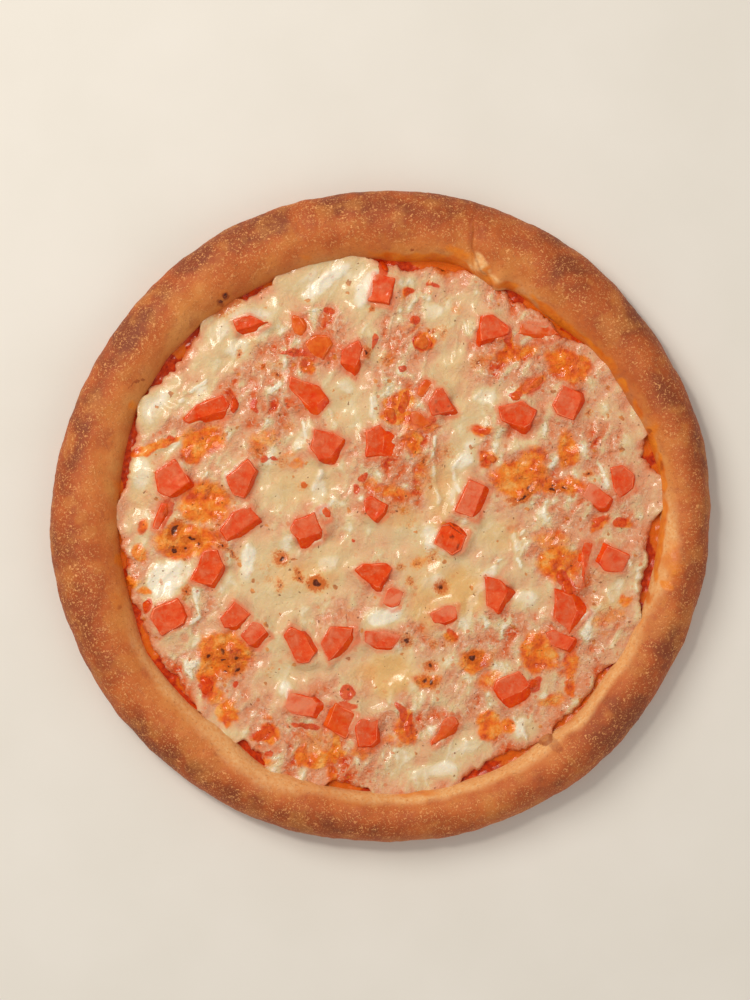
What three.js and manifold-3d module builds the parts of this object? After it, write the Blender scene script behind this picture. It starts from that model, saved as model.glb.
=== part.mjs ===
// A whole margherita pizza, baked and uncut: one dough with a rolled rim, a thin layer of tomato
// sauce, one melted layer of cheese, and pieces of diced tomato sunk into the cheese.
// Millimetres and degrees, +Z up. The origin is the middle of the flat underside, +Y is the side
// where the two ends of the rolled rim meet, and angles turn from +X towards +Y.

import * as THREE from "three";
import { mergeVertices } from "three/addons/utils/BufferGeometryUtils.js";
import Module from "manifold-3d";

// ---- the dough ----
const RIM_RADIUS = 148.8;
const RIM_CREST_INSET = 13;
const RIM_HEIGHT = 22.5;
const RIM_BELLY_HEIGHT = 9;
const SOLE_INSET = 7;
const WELL_RADIUS = 121.5;
const WELL_SHIFT = { x: 2.6, y: -3.0 };
const FLOOR_HEIGHT = 6;
const DOUGH_SEGMENTS = 104;

// Waves of the rim's outside: how many round the rim, how deep, and where the first one peaks.
const RIM_WAVES = [
  { count: 1, size: 0.35, peak: 105 },
  { count: 2, size: 0.9, peak: 21 },
  { count: 3, size: 0.55, peak: 71 },
  { count: 4, size: 0.35, peak: 19 },
  { count: 6, size: 0.35, peak: 5 },
  { count: 11, size: 0.2, peak: 18 },
];

// Places where the rim's inner wall stands back (plus) or swells into the well (minus).
const WELL_SWELLS = [
  { angle: 9, spread: 13, size: 3.4 },
  { angle: 50, spread: 9, size: -3.2 },
  { angle: 86, spread: 7, size: -2.4 },
  { angle: 148, spread: 24, size: 3.4 },
  { angle: 210, spread: 7, size: 2.2 },
  { angle: 232, spread: 6, size: -2.2 },
  { angle: 245, spread: 4, size: 1.6 },
  { angle: 325, spread: 8, size: -1.4 },
];

// Puffs and hollows along the top of the rim.
const CREST_SWELLS = [
  { angle: 20, spread: 14, size: 0.9 },
  { angle: 52, spread: 9, size: 0.7 },
  { angle: 100, spread: 12, size: -0.8 },
  { angle: 128, spread: 10, size: 0.9 },
  { angle: 160, spread: 12, size: -0.5 },
  { angle: 188, spread: 13, size: 1.2 },
  { angle: 222, spread: 12, size: -0.7 },
  { angle: 255, spread: 12, size: 0.6 },
  { angle: 283, spread: 10, size: -0.8 },
  { angle: 309, spread: 10, size: 0.8 },
  { angle: 340, spread: 11, size: -0.7 },
];

// The rim is rolled from one rope: its end overlaps its start in a curved step.
const SEAM_ANGLE = 73;
const SEAM_CURL = 9;
const SEAM_STEP_UP = { size: 0.9, spread: 7 };
const SEAM_STEP_DOWN = { size: 1.7, spread: 6 };
const SEAM_CROWD = { share: 0.75, spread: 12, middle: 70 };

// ---- the sauce and the cheese ----
const LAYER_GAP = 0.3;
const WALL_GAP = 0.7;
const SAUCE_THICKNESS = 1.6;
const CHEESE_TOP = 12.6;
const CHEESE_EDGE_DROP = 1.5;
const CHEESE_EDGE_ROUND = { across: 1, down: 0.6 };
const CHEESE_RINGS = [116, 107, 97, 87, 77, 67, 56, 45, 33, 19];
const CHEESE_SEGMENTS = 90;

// Bays in the cheese's edge, where the sauce shows along the rim.
const CHEESE_BAYS = [
  { angle: -4, spread: 4, size: 3.4 },
  { angle: 13, spread: 3, size: 4.0 },
  { angle: 41, spread: 8, size: 3.0 },
  { angle: 59, spread: 5, size: 1.8 },
  { angle: 81, spread: 9, size: 3.6 },
  { angle: 119, spread: 4, size: 2.0 },
  { angle: 143, spread: 7, size: 4.4 },
  { angle: 167, spread: 8, size: 2.8 },
  { angle: 190, spread: 7, size: 1.6 },
  { angle: 213, spread: 11, size: 3.6 },
  { angle: 241, spread: 3, size: 3.0 },
  { angle: 263, spread: 4, size: 2.6 },
  { angle: 296, spread: 7, size: 4.2 },
  { angle: 313, spread: 4, size: 2.4 },
  { angle: 323, spread: 4, size: 2.6 },
  { angle: 347, spread: 6, size: 3.0 },
];

// Lumps (plus) where sauce and tomato lie under the cheese, and pools (minus) where it ran flat.
const CHEESE_LUMPS = [
  { x: -37, y: 66, radius: 20, size: 1.5 },
  { x: 3, y: 24, radius: 20, size: 1.7 },
  { x: 14, y: 41, radius: 13, size: 0.9 },
  { x: 42, y: 71, radius: 8, size: 0.9 },
  { x: 65, y: 67, radius: 15, size: 1.2 },
  { x: 99, y: 34, radius: 10, size: 1.1 },
  { x: 85, y: -6, radius: 13, size: 1.2 },
  { x: 63, y: -62, radius: 17, size: 1.2 },
  { x: 26, y: -92, radius: 15, size: 1.0 },
  { x: -46, y: -107, radius: 9, size: 1.3 },
  { x: -8, y: -112, radius: 12, size: 0.9 },
  { x: -82, y: -42, radius: 9, size: 0.8 },
  { x: -60, y: 47, radius: 9, size: 1.0 },
  { x: -21, y: -43, radius: 8, size: 0.8 },
  { x: -101, y: -28, radius: 11, size: 1.0 },
  { x: -108, y: 17, radius: 9, size: 0.9 },
  { x: 31, y: 53, radius: 12, size: -0.8 },
  { x: 26, y: 14, radius: 11, size: -0.9 },
  { x: -19, y: 49, radius: 9, size: -0.6 },
  { x: -32, y: 12, radius: 14, size: -0.8 },
  { x: -37, y: -38, radius: 18, size: -0.8 },
  { x: -12, y: -66, radius: 14, size: -0.6 },
  { x: -24, y: 107, radius: 14, size: -0.5 },
  { x: 31, y: 92, radius: 14, size: -0.6 },
];
const RIPPLES = { count: 6, size: 0.22, longest: 34, shrink: 0.8, turn: 2.4 };

// ---- the tomato ----
const TOMATO_FLOOR = 9.7;
const TOMATO_BEVEL = 0.8;
const TOMATO_LEAN = 0.45;
const TOMATO_SCALE = 0.97;
const POCKET_CLEARANCE = 0.6;
const POCKET_TOP = 20;

// Outlines of the cuts, each within a square of side 1: the shapes that dicing a tomato leaves.
const CUTS = {
  block: [[-0.5, -0.46], [0.46, -0.5], [0.5, 0.47], [-0.47, 0.5]],
  clipped: [[-0.5, -0.5], [0.3, -0.5], [0.5, -0.05], [0.2, 0.5], [-0.47, 0.5]],
  wedge: [[-0.5, -0.05], [-0.32, -0.5], [0.48, -0.04], [0.5, 0.5], [-0.35, 0.5]],
  nugget: [[-0.5, -0.3], [-0.3, -0.5], [0.42, -0.48], [0.5, 0.2], [0.3, 0.5], [-0.45, 0.45]],
  kite: [[-0.5, -0.12], [-0.33, -0.5], [0.3, -0.5], [0.5, -0.4], [0.32, 0.33], [-0.12, 0.5]],
  leaf: [[-0.5, 0.12], [-0.42, -0.3], [0.35, -0.5], [0.5, -0.08], [0.41, 0.5], [-0.15, 0.47]],
  tooth: [[-0.5, -0.5], [0.41, -0.5], [0.5, -0.29], [0.26, 0.32], [-0.1, 0.5], [-0.5, -0.35]],
};

// Every piece of tomato, from the +Y side down: middle, length, width, turn, height, cut. A minus
// length or width mirrors the cut.
const TOMATOES = [
  [0.5, 102.5, 11, 14, -10, 7.5, "block"],
  [-59, 87.5, 9.5, 16, 110, 8.5, "wedge"],
  [-38, 87.5, 9, 10.5, -125, 6, "wedge"],
  [48, 86, 17.5, 13.5, 25, 8.5, "tooth"],
  [71.5, 83.5, 19.5, 8, -5, 6, "clipped"],
  [-27.5, 77.5, -12.5, 13.5, 45, 6.5, "leaf"],
  [-14, 72.5, -17.5, 10.5, 75, 8, "kite"],
  [68.5, 60, 9, 4.5, 50, 6, "block"],
  [19, 58.5, 6, 9.5, 155, 6.5, "clipped"],
  [-34.5, 56, -12.5, 22, 50, 7, "kite"],
  [85, 51.5, -14.5, 13.5, 65, 8.5, "nugget"],
  [26, 50, 16, 12, 125, 7.5, "tooth"],
  [-79, 47.5, 23.5, 11, 20, 7.5, "leaf"],
  [60, 46, -15, 18, 75, 8.5, "kite"],
  [17, 43.5, -13, 7.5, 140, 6, "kite"],
  [-0.5, 34, -16, 14, -90, 8, "clipped"],
  [-24.5, 31.5, 15.5, 17, 75, 8.5, "leaf"],
  [-95.5, 16, -16, 15.5, 35, 8.5, "clipped"],
  [-62, 17, 16.5, 14.5, 40, 8.5, "wedge"],
  [109.5, 16, -10.5, 16, 15, 7, "leaf"],
  [98, 9, -15, 8.5, 140, 8, "nugget"],
  [41.5, 8, -12, 17.5, 155, 8.5, "block"],
  [-2.5, 4, -12.5, 10, 140, 7.5, "leaf"],
  [-99.5, 0, -5.5, 13.5, 160, 6.5, "clipped"],
  [-25.5, 2, -5.5, 7, -155, 6, "clipped"],
  [-65, -3, 12, 19, 125, 8, "clipped"],
  [-33.5, -6, 15, 14, 115, 8.5, "nugget"],
  [32, -9.5, -14, 13.5, 150, 7.5, "nugget"],
  [103, -19, 12.5, 15, -115, 8, "clipped"],
  [91, -21, 6.5, 20.5, 170, 7, "tooth"],
  [-77, -23, -18.5, 12.5, -115, 8.5, "clipped"],
  [-5, -26, 14.5, 16.5, 70, 8, "tooth"],
  [51.5, -34.5, 14.5, 16, -120, 8.5, "wedge"],
  [5, -37, 10.5, 8.5, -110, 5.5, "nugget"],
  [83.5, -40.5, 16, 21, -130, 8.5, "wedge"],
  [29, -45, 9, 14, 110, 6, "leaf"],
  [-96, -44.5, -17, 13.5, 25, 8.5, "nugget"],
  [-67, -46, 13.5, 11, -130, 8, "clipped"],
  [-57, -53.5, 11.5, 11.5, 45, 8, "nugget"],
  [81, -56, 15.5, 7.5, 155, 7.5, "clipped"],
  [-20, -55.5, -20.5, 13.5, 45, 8, "kite"],
  [0, -56, 9.5, 17, 85, 6, "leaf"],
  [-37, -57, 19, 12, -55, 8.5, "leaf"],
  [59, -78.5, 14.5, 16, -60, 8.5, "nugget"],
  [-34.5, -85, -10.5, 18, -105, 8.5, "nugget"],
  [-19.5, -91.5, 13.5, 13, -25, 6.5, "block"],
  [28.5, -97, -18.5, 8, -130, 7.5, "leaf"],
  [-6.5, -98.5, 14, 11.5, -85, 8, "nugget"],
];

const wasm = await Module();
wasm.setup();

const MATERIALS = {
  crust: new THREE.MeshStandardMaterial({ color: 0xc8743c, roughness: 0.75, metalness: 0 }),
  sauce: new THREE.MeshStandardMaterial({ color: 0xa82408, roughness: 0.3, metalness: 0 }),
  cheese: new THREE.MeshStandardMaterial({ color: 0xe3c8a0, roughness: 0.4, metalness: 0 }),
  tomato: new THREE.MeshStandardMaterial({ color: 0xdc4a1e, roughness: 0.35, metalness: 0 }),
};

function degreesFrom(angle, centre) {
  return ((((angle - centre) % 360) + 540) % 360) - 180;
}

function bell(away, spread) {
  return Math.exp(-((away / spread) ** 2));
}

function swell(rows, angle) {
  return rows.reduce((sum, row) => {
    return sum + row.size * bell(degreesFrom(angle, row.angle), row.spread);
  }, 0);
}

// A steady draw between -1 and 1 for piece number i.
const DRAW = { perPiece: 12.9898, perSalt: 78.233, spread: 43758.5453 };
function draw(i, salt) {
  const wide = Math.sin(i * DRAW.perPiece + salt * DRAW.perSalt) * DRAW.spread;
  return 2 * (wide - Math.floor(wide)) - 1;
}

function rimRadius(angle) {
  return RIM_WAVES.reduce((sum, wave) => {
    const turn = THREE.MathUtils.degToRad(wave.count * (angle - wave.peak));
    return sum + wave.size * Math.cos(turn);
  }, RIM_RADIUS);
}

function wellRadius(angle) {
  const turn = THREE.MathUtils.degToRad(angle);
  const shifted = WELL_SHIFT.x * Math.cos(turn) + WELL_SHIFT.y * Math.sin(turn);
  return WELL_RADIUS + shifted + swell(WELL_SWELLS, angle);
}

function cheeseRadius(angle) {
  return wellRadius(angle) - WALL_GAP - swell(CHEESE_BAYS, angle);
}

// How much higher than its plain height the rim's crest stands.
function crestLift(angle, radius) {
  const inwards = Math.max(0, RIM_RADIUS - RIM_CREST_INSET - radius) / RIM_CREST_INSET;
  const away = degreesFrom(angle, SEAM_ANGLE - SEAM_CURL * inwards ** 2);
  const step = away < 0
    ? SEAM_STEP_UP.size * bell(away, SEAM_STEP_UP.spread)
    : -SEAM_STEP_DOWN.size * bell(away, SEAM_STEP_DOWN.spread);
  return swell(CREST_SWELLS, angle) + step;
}

function cheeseRelief(x, y) {
  let height = 0;
  for (const lump of CHEESE_LUMPS) {
    height += lump.size * bell(Math.hypot(x - lump.x, y - lump.y), lump.radius);
  }
  let length = RIPPLES.longest;
  for (let i = 1; i <= RIPPLES.count; i++) {
    const turn = i * RIPPLES.turn;
    const along = x * Math.cos(turn) + y * Math.sin(turn);
    height += RIPPLES.size * Math.sin((2 * Math.PI * along) / length + i);
    length *= RIPPLES.shrink;
  }
  return height;
}

// A solid of revolution about Z from an outline of radius and height, ends on the axis.
function turned(outline, segments) {
  return new THREE.LatheGeometry(outline, segments).rotateX(Math.PI / 2);
}

// Moves every vertex to where `place` puts its angle, radius and height.
function reshape(geometry, place) {
  const points = geometry.getAttribute("position");
  for (let i = 0; i < points.count; i++) {
    const turn = Math.atan2(points.getY(i), points.getX(i));
    const radius = Math.hypot(points.getX(i), points.getY(i));
    const to = place(THREE.MathUtils.radToDeg(turn), radius, points.getZ(i));
    const out = THREE.MathUtils.degToRad(to.angle);
    points.setXYZ(i, to.radius * Math.cos(out), to.radius * Math.sin(out), to.height);
  }
  return geometry;
}

function closed(geometry) {
  const bare = new THREE.BufferGeometry();
  bare.setAttribute("position", geometry.getAttribute("position"));
  bare.setIndex(geometry.getIndex());
  return mergeVertices(bare, 1e-3);
}

function solidOf(geometry) {
  const merged = closed(geometry);
  const vertProperties = merged.getAttribute("position").array;
  const triVerts = new Uint32Array(merged.getIndex().array);
  return new wasm.Manifold(new wasm.Mesh({ numProp: 3, vertProperties, triVerts }));
}

function geometryOf(solid) {
  const mesh = solid.getMesh();
  const geometry = new THREE.BufferGeometry();
  geometry.setAttribute("position", new THREE.BufferAttribute(mesh.vertProperties, 3));
  geometry.setIndex(new THREE.BufferAttribute(mesh.triVerts, 1));
  return geometry;
}

function part(name, geometry, material) {
  const mesh = new THREE.Mesh(geometry, material.clone());
  mesh.geometry.computeVertexNormals();
  mesh.name = name;
  return mesh;
}

function arc(x, z, wide, high, from, to, steps) {
  const start = THREE.MathUtils.degToRad(from);
  const end = THREE.MathUtils.degToRad(to);
  return new THREE.EllipseCurve(x, z, wide, high, start, end, end < start).getPoints(steps);
}

// Half of the dough's section: flat sole, round belly, crest, inner wall and the well's floor.
function doughOutline() {
  const crest = RIM_RADIUS - RIM_CREST_INSET;
  const rise = RIM_HEIGHT - RIM_BELLY_HEIGHT;
  const sole = RIM_RADIUS - SOLE_INSET;
  return [
    new THREE.Vector2(0, 0),
    ...arc(sole, RIM_BELLY_HEIGHT, SOLE_INSET, RIM_BELLY_HEIGHT, -90, 0, 4),
    ...arc(crest, RIM_BELLY_HEIGHT, RIM_CREST_INSET, rise, 0, 90, 5).slice(1),
    ...arc(crest, RIM_BELLY_HEIGHT, crest - WELL_RADIUS, rise, 90, 180, 6).slice(1),
    new THREE.Vector2(WELL_RADIUS, FLOOR_HEIGHT),
    new THREE.Vector2(0, FLOOR_HEIGHT),
  ];
}

// Crowds the section lines together at the seam, so that its step stays sharp.
function crowdedAngle(angle) {
  const away = degreesFrom(angle, SEAM_CROWD.middle);
  return angle - SEAM_CROWD.share * away * bell(away, SEAM_CROWD.spread);
}

function crustGeometry() {
  return reshape(turned(doughOutline(), DOUGH_SEGMENTS), (start, radius, height) => {
    const angle = crowdedAngle(start);
    const well = wellRadius(angle);
    const share = (radius - WELL_RADIUS) / (RIM_RADIUS - WELL_RADIUS);
    const raised = Math.max(0, height - RIM_BELLY_HEIGHT) / (RIM_HEIGHT - RIM_BELLY_HEIGHT);
    return {
      angle,
      radius: share > 0 ? well + share * (rimRadius(angle) - well) : (radius * well) / WELL_RADIUS,
      height: height + raised * crestLift(angle, radius),
    };
  });
}

function sauceGeometry() {
  const low = FLOOR_HEIGHT + LAYER_GAP;
  const high = low + SAUCE_THICKNESS;
  const outline = [[0, low], [WELL_RADIUS, low], [WELL_RADIUS, high], [0, high]];
  const disc = turned(outline.map(([r, z]) => new THREE.Vector2(r, z)), CHEESE_SEGMENTS);
  return reshape(disc, (angle, radius, height) => {
    return { angle, radius: (radius / WELL_RADIUS) * (wellRadius(angle) - WALL_GAP), height };
  });
}

// The cheese before the tomatoes press into it: flat below, with a rounded edge and an uneven top.
function cheeseGeometry() {
  const low = FLOOR_HEIGHT + SAUCE_THICKNESS + 2 * LAYER_GAP;
  const lip = CHEESE_TOP - CHEESE_EDGE_DROP;
  const outline = [
    [0, low],
    [WELL_RADIUS, low],
    [WELL_RADIUS, lip - CHEESE_EDGE_ROUND.down],
    [WELL_RADIUS - CHEESE_EDGE_ROUND.across, lip],
  ];
  for (const ring of CHEESE_RINGS) {
    outline.push([ring, CHEESE_TOP]);
  }
  outline.push([0, CHEESE_TOP]);
  const disc = turned(outline.map(([r, z]) => new THREE.Vector2(r, z)), CHEESE_SEGMENTS);
  return reshape(disc, (angle, radius, height) => {
    const reach = (radius / WELL_RADIUS) * cheeseRadius(angle);
    const turn = THREE.MathUtils.degToRad(angle);
    const relief = cheeseRelief(reach * Math.cos(turn), reach * Math.sin(turn));
    return { angle, radius: reach, height: height < lip ? height : height + relief };
  });
}

// One cut of tomato, its bottom at z = 0: bevelled for the piece, plain and larger for its pocket.
function cutGeometry(cut, long, wide, high, bevel) {
  const corners = CUTS[cut].map(([u, v]) => new THREE.Vector2(u * long, v * wide));
  if (THREE.ShapeUtils.isClockWise(corners)) corners.reverse();
  return new THREE.ExtrudeGeometry(new THREE.Shape(corners), {
    depth: high - 2 * bevel,
    steps: 1,
    bevelEnabled: bevel > 0,
    bevelThickness: bevel,
    bevelSize: bevel,
    bevelOffset: -bevel,
    bevelSegments: 1,
  }).translate(0, 0, bevel);
}

function grown(size, by) {
  return size + Math.sign(size) * by;
}

function tomatoPieces() {
  return TOMATOES.map(([x, y, length, width, turn, high, cut], i) => {
    const long = length * TOMATO_SCALE;
    const wide = width * TOMATO_SCALE;
    const geometry = closed(cutGeometry(cut, long, wide, high, TOMATO_BEVEL));
    const mesh = part(`tomato_${String(i + 1).padStart(2, "0")}`, geometry, MATERIALS.tomato);
    const lean = { x: TOMATO_LEAN * draw(i, 1), y: TOMATO_LEAN * draw(i, 2) };
    const lift = Math.abs(lean.x) + Math.abs(lean.y);
    mesh.position.set(x, y, TOMATO_FLOOR + lift);
    const size = Math.max(Math.abs(long), Math.abs(wide)) / 2;
    mesh.rotation.set(lean.x / size, lean.y / size, THREE.MathUtils.degToRad(turn));
    mesh.updateMatrix();
    const clearance = 2 * POCKET_CLEARANCE;
    const pocket = cutGeometry(cut, grown(long, clearance), grown(wide, clearance), POCKET_TOP, 0)
      .translate(0, 0, -POCKET_CLEARANCE)
      .applyMatrix4(mesh.matrix);
    return { mesh, pocket };
  });
}

function pizza() {
  const pieces = tomatoPieces();
  let cheese = solidOf(cheeseGeometry());
  for (const { pocket } of pieces) {
    cheese = cheese.subtract(solidOf(pocket));
  }
  const crust = part("crust", crustGeometry(), MATERIALS.crust);
  const group = new THREE.Group();
  group.add(
    crust,
    part("sauce", sauceGeometry(), MATERIALS.sauce),
    part("cheese", geometryOf(cheese), MATERIALS.cheese),
    ...pieces.map(({ mesh }) => mesh),
  );
  // The rim's waves put the middle of its box a little off the axis it was turned on.
  crust.geometry.computeBoundingBox();
  const middle = crust.geometry.boundingBox.getCenter(new THREE.Vector3());
  group.position.set(-middle.x, -middle.y, 0);
  return group;
}

export default pizza();
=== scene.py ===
"""A whole baked margherita pizza: rolled dough rim, sauce, one melted cheese layer, diced tomato.

Lengths in the tables and functions are millimetres from the middle of the pizza, with +Y towards
the seam of the rim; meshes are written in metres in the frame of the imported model.
"""

import math
from collections import namedtuple
from itertools import product

import bmesh
import bpy
import numpy as np
from mathutils import Matrix, Vector
from mathutils.bvhtree import BVHTree
from mathutils.geometry import convex_hull_2d


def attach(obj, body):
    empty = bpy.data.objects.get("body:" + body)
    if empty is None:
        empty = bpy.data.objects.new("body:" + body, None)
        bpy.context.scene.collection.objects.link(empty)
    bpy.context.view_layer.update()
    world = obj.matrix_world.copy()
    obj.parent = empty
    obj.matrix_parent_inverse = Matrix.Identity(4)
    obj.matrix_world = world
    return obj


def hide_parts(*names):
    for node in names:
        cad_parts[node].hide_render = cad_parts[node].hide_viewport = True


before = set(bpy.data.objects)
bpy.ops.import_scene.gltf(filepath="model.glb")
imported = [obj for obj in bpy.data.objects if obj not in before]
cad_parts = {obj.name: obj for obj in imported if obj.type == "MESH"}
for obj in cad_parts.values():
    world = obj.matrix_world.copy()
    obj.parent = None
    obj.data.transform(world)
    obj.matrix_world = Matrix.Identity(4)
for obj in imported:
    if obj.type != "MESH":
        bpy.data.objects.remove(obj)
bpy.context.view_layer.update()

MM = 0.001
WELD = 0.01 * MM

# ---- the pizza's own sizes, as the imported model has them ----
MIDDLE = np.array([0.742, -0.724, 0.0])
RIM_RADIUS = 148.8
RIM_CREST_INSET = 13
RIM_HEIGHT = 22.5
RIM_BELLY_HEIGHT = 9
SOLE_INSET = 7
WELL_RADIUS = 121.5
WELL_SHIFT = (2.6, -3.0)
FLOOR_HEIGHT = 6
CREST_RADIUS = RIM_RADIUS - RIM_CREST_INSET

# Count round the rim, depth, angle of the first peak.
RIM_WAVES = [
    (1, 0.35, 105), (2, 0.9, 21), (3, 0.55, 71), (4, 0.35, 19), (6, 0.35, 5), (11, 0.2, 18),
]
# Swells of the inner wall (minus where it bulges inwards) and of the crest: angle, spread, size.
WELL_SWELLS = [
    (9, 13, 3.4), (50, 9, -3.2), (65.5, 4.5, -3.6), (86, 7, -2.4), (148, 24, 3.4), (210, 7, 2.2),
    (232, 6, -2.2), (245, 4, 1.6), (325, 8, -1.4),
]
CREST_SWELLS = [
    (20, 14, 0.9), (52, 9, 0.7), (100, 12, -0.8), (128, 10, 0.9), (160, 12, -0.5), (188, 13, 1.2),
    (222, 12, -0.7), (255, 12, 0.6), (283, 10, -0.8), (309, 10, 0.8), (340, 11, -0.7),
]
# The seam's angle at each radius; how the crest steps up to it and down beyond it (size, spread);
# how the dough's points crowd towards it (share, spread, middle); the radii between which it fades.
SEAM_RADII = [117.7, 120.7, 124.4, 128.1, 139.1, 148.9]
SEAM_ANGLES = [64.5, 67.5, 70.1, 71.6, 72.9, 72.6]
SEAM_STEP_UP = (0.9, 7)
SEAM_STEP_DOWN = (1.7, 6)
SEAM_CROWD = (0.75, 12, 70)
SEAM_FADE = (135, 140)

SAUCE_LOW = 6.3
SAUCE_TOP = 7.9
SAUCE_TUCK = 0.7
CHEESE_LOW = 8.2
CHEESE_TOP = 12.6
# Where the sauce shows between the cheese and the rim: angle, spread, size.
CHEESE_BAYS = [
    (-4, 4, 3.4), (13, 3, 4), (46, 5, 2), (59, 5, 1.8), (81, 9, 3.6), (119, 4, 2), (143, 7, 4.4),
    (167, 8, 2.8), (190, 7, 1.6), (213, 11, 3.6), (241, 3, 3), (263, 4, 2.6), (296, 7, 4.2),
    (313, 4, 2.4), (323, 4, 2.6), (347, 6, 3),
]
# Lumps of the cheese over sauce and tomato, and pools where it ran flat: x, y, radius, size.
CHEESE_LUMPS = [
    (-37, 66, 20, 1.5), (3, 24, 20, 1.7), (14, 41, 13, 0.9), (42, 71, 8, 0.9), (65, 67, 15, 1.2),
    (99, 34, 10, 1.1), (85, -6, 13, 1.2), (63, -62, 17, 1.2), (26, -92, 15, 1.0),
    (-46, -107, 9, 1.3), (-8, -112, 12, 0.9), (-82, -42, 9, 0.8), (-60, 47, 9, 1.0),
    (-21, -43, 8, 0.8), (-101, -28, 11, 1.0), (-108, 17, 9, 0.9), (31, 53, 12, -0.8),
    (26, 14, 11, -0.9), (-19, 49, 9, -0.6), (-32, 12, 14, -0.8), (-37, -38, 18, -0.8),
    (-12, -66, 14, -0.6), (-24, 107, 14, -0.5), (31, 92, 14, -0.6),
]
# How many ripples run over the cheese, their height, the longest one, how each shortens and turns.
RIPPLES = (6, 0.22, 34, 0.8, 2.4)

# ---- where each finish lies: x, y, half length, half width, turn in degrees, strength ----
# Cheese that lets the sauce and the tomato under it show through.
PINK = [
    (-24.5, 88.9, 8.6, 7.7, 0, 0.8), (-37.3, 77, 19.1, 9.1, 0, 0.85),
    (-54.5, 56.6, 16.4, 10.9, -20, 0.95), (-42.7, 47.9, 10, 9.1, 0, 0.8),
    (-64.5, 41.1, 10, 4.5, 30, 0.6), (-98.6, 42, 10.9, 4.5, 10, 0.5),
    (-105.4, 34.3, 7.7, 3.6, 15, 0.6), (-57.7, 30.7, 8.2, 4.1, 0, 0.6),
    (-4.5, 20.7, 13.6, 7.3, 10, 0.65), (-16.8, 9.3, 7.3, 3.6, 20, 0.5),
    (10, 84.3, 12.3, 10.9, 0, 0.7), (6.4, 68.9, 6.4, 4.5, 0, 0.6), (9.1, 54.8, 10, 10, 0, 0.85),
    (5.9, 21.6, 18.2, 15.5, 0, 0.9), (12.7, 35.2, 11.8, 6.4, 0, 0.8),
    (40, 75.2, 10.9, 7.3, -20, 0.7), (55, 67.9, 19.1, 11.8, -10, 0.9),
    (74.1, 77.9, 12.7, 4.1, -15, 0.7), (89.1, 65.2, 9.1, 5.5, -30, 0.6),
    (101.4, 51.6, 10.9, 6.4, -60, 0.4), (100.4, 33.4, 9.1, 10, 0, 0.95),
    (80.9, 42, 9.1, 5.5, 0, 0.5), (52.3, 38.9, 8.2, 6.4, 0, 0.6), (53.6, 29.8, 8.2, 6.4, 0, 0.6),
    (74.1, 25.2, 10.9, 6.4, 0, 0.6), (86, 7, 16.4, 7, 0, 0.85),
    (110.4, 1.1, 7.3, 8.2, 0, 0.65), (74.1, -14.8, 11.8, 10, 0, 0.65),
    (117.7, -20.2, 3.6, 11.8, 0, 0.6), (58.2, -44.8, 14.5, 3.6, 0, 0.75),
    (49.1, -55.7, 12.7, 9.1, 0, 0.8), (63.6, -59.3, 8.2, 4.5, 0, 0.6),
    (96.4, -62.5, 6.4, 11.8, 0, 0.6), (104.5, -46.6, 5.5, 4.5, 0, 0.6),
    (75.4, -85.2, 10, 5.5, 0, 0.55), (61.8, -88.4, 7.3, 4.5, 0, 0.6),
    (30.9, -66.6, 12.7, 8.2, 0, 0.5), (19.5, -79.3, 10.9, 5.5, 0, 0.5),
    (23.6, -92.9, 10, 7.3, 0, 0.7), (10, -92.9, 10.9, 8.2, 0, 0.75), (40, -85.2, 7.3, 5.5, 0, 0.5),
    (55.9, -102, 8.2, 2.7, 0, 0.6), (9.1, -112, 11.8, 5.5, 0, 0.5),
    (-12.7, -110.2, 11.8, 8.2, 0, 1), (-43.6, -106.6, 12.3, 6.8, 0, 0.9),
    (-80.9, -43, 6.4, 10, 0, 0.6), (-23.6, -41.1, 9.1, 5.5, 25, 0.7),
    (-88.6, -67.9, 7.3, 6.4, 0, 0.85), (-75.4, -6.6, 5.5, 6.4, 0, 0.7),
    (-63.2, -65.7, 5.5, 10, 0, 0.6), (-60.9, -85.2, 6.4, 10, 0, 0.5),
    (-16.8, -76.6, 11.8, 5.5, 0, 0.6), (-48.6, -95.7, 7.3, 3.6, 0, 0.6),
    (-112.7, -20.2, 4.1, 10.9, 0, 0.55), (-80.4, 21.6, 6.4, 6.4, 0, 0.3),
    (-13.6, -41.1, 7.3, 4.5, 0, 0.3), (58, -46, 8, 7, 0, 0.95), (62, 67, 9, 8, 0, 1),
    (54, 98, 12, 5, -30, 0.5), (92, -34, 8, 8, 0, 0.7), (12, -53, 9, 7, 0, 0.6),
    (88, -50, 9, 9, 0, 1), (-30, -92, 9, 7, 0, 0.7), (30, -50, 8, 5, 0, 0.4),
]
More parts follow.
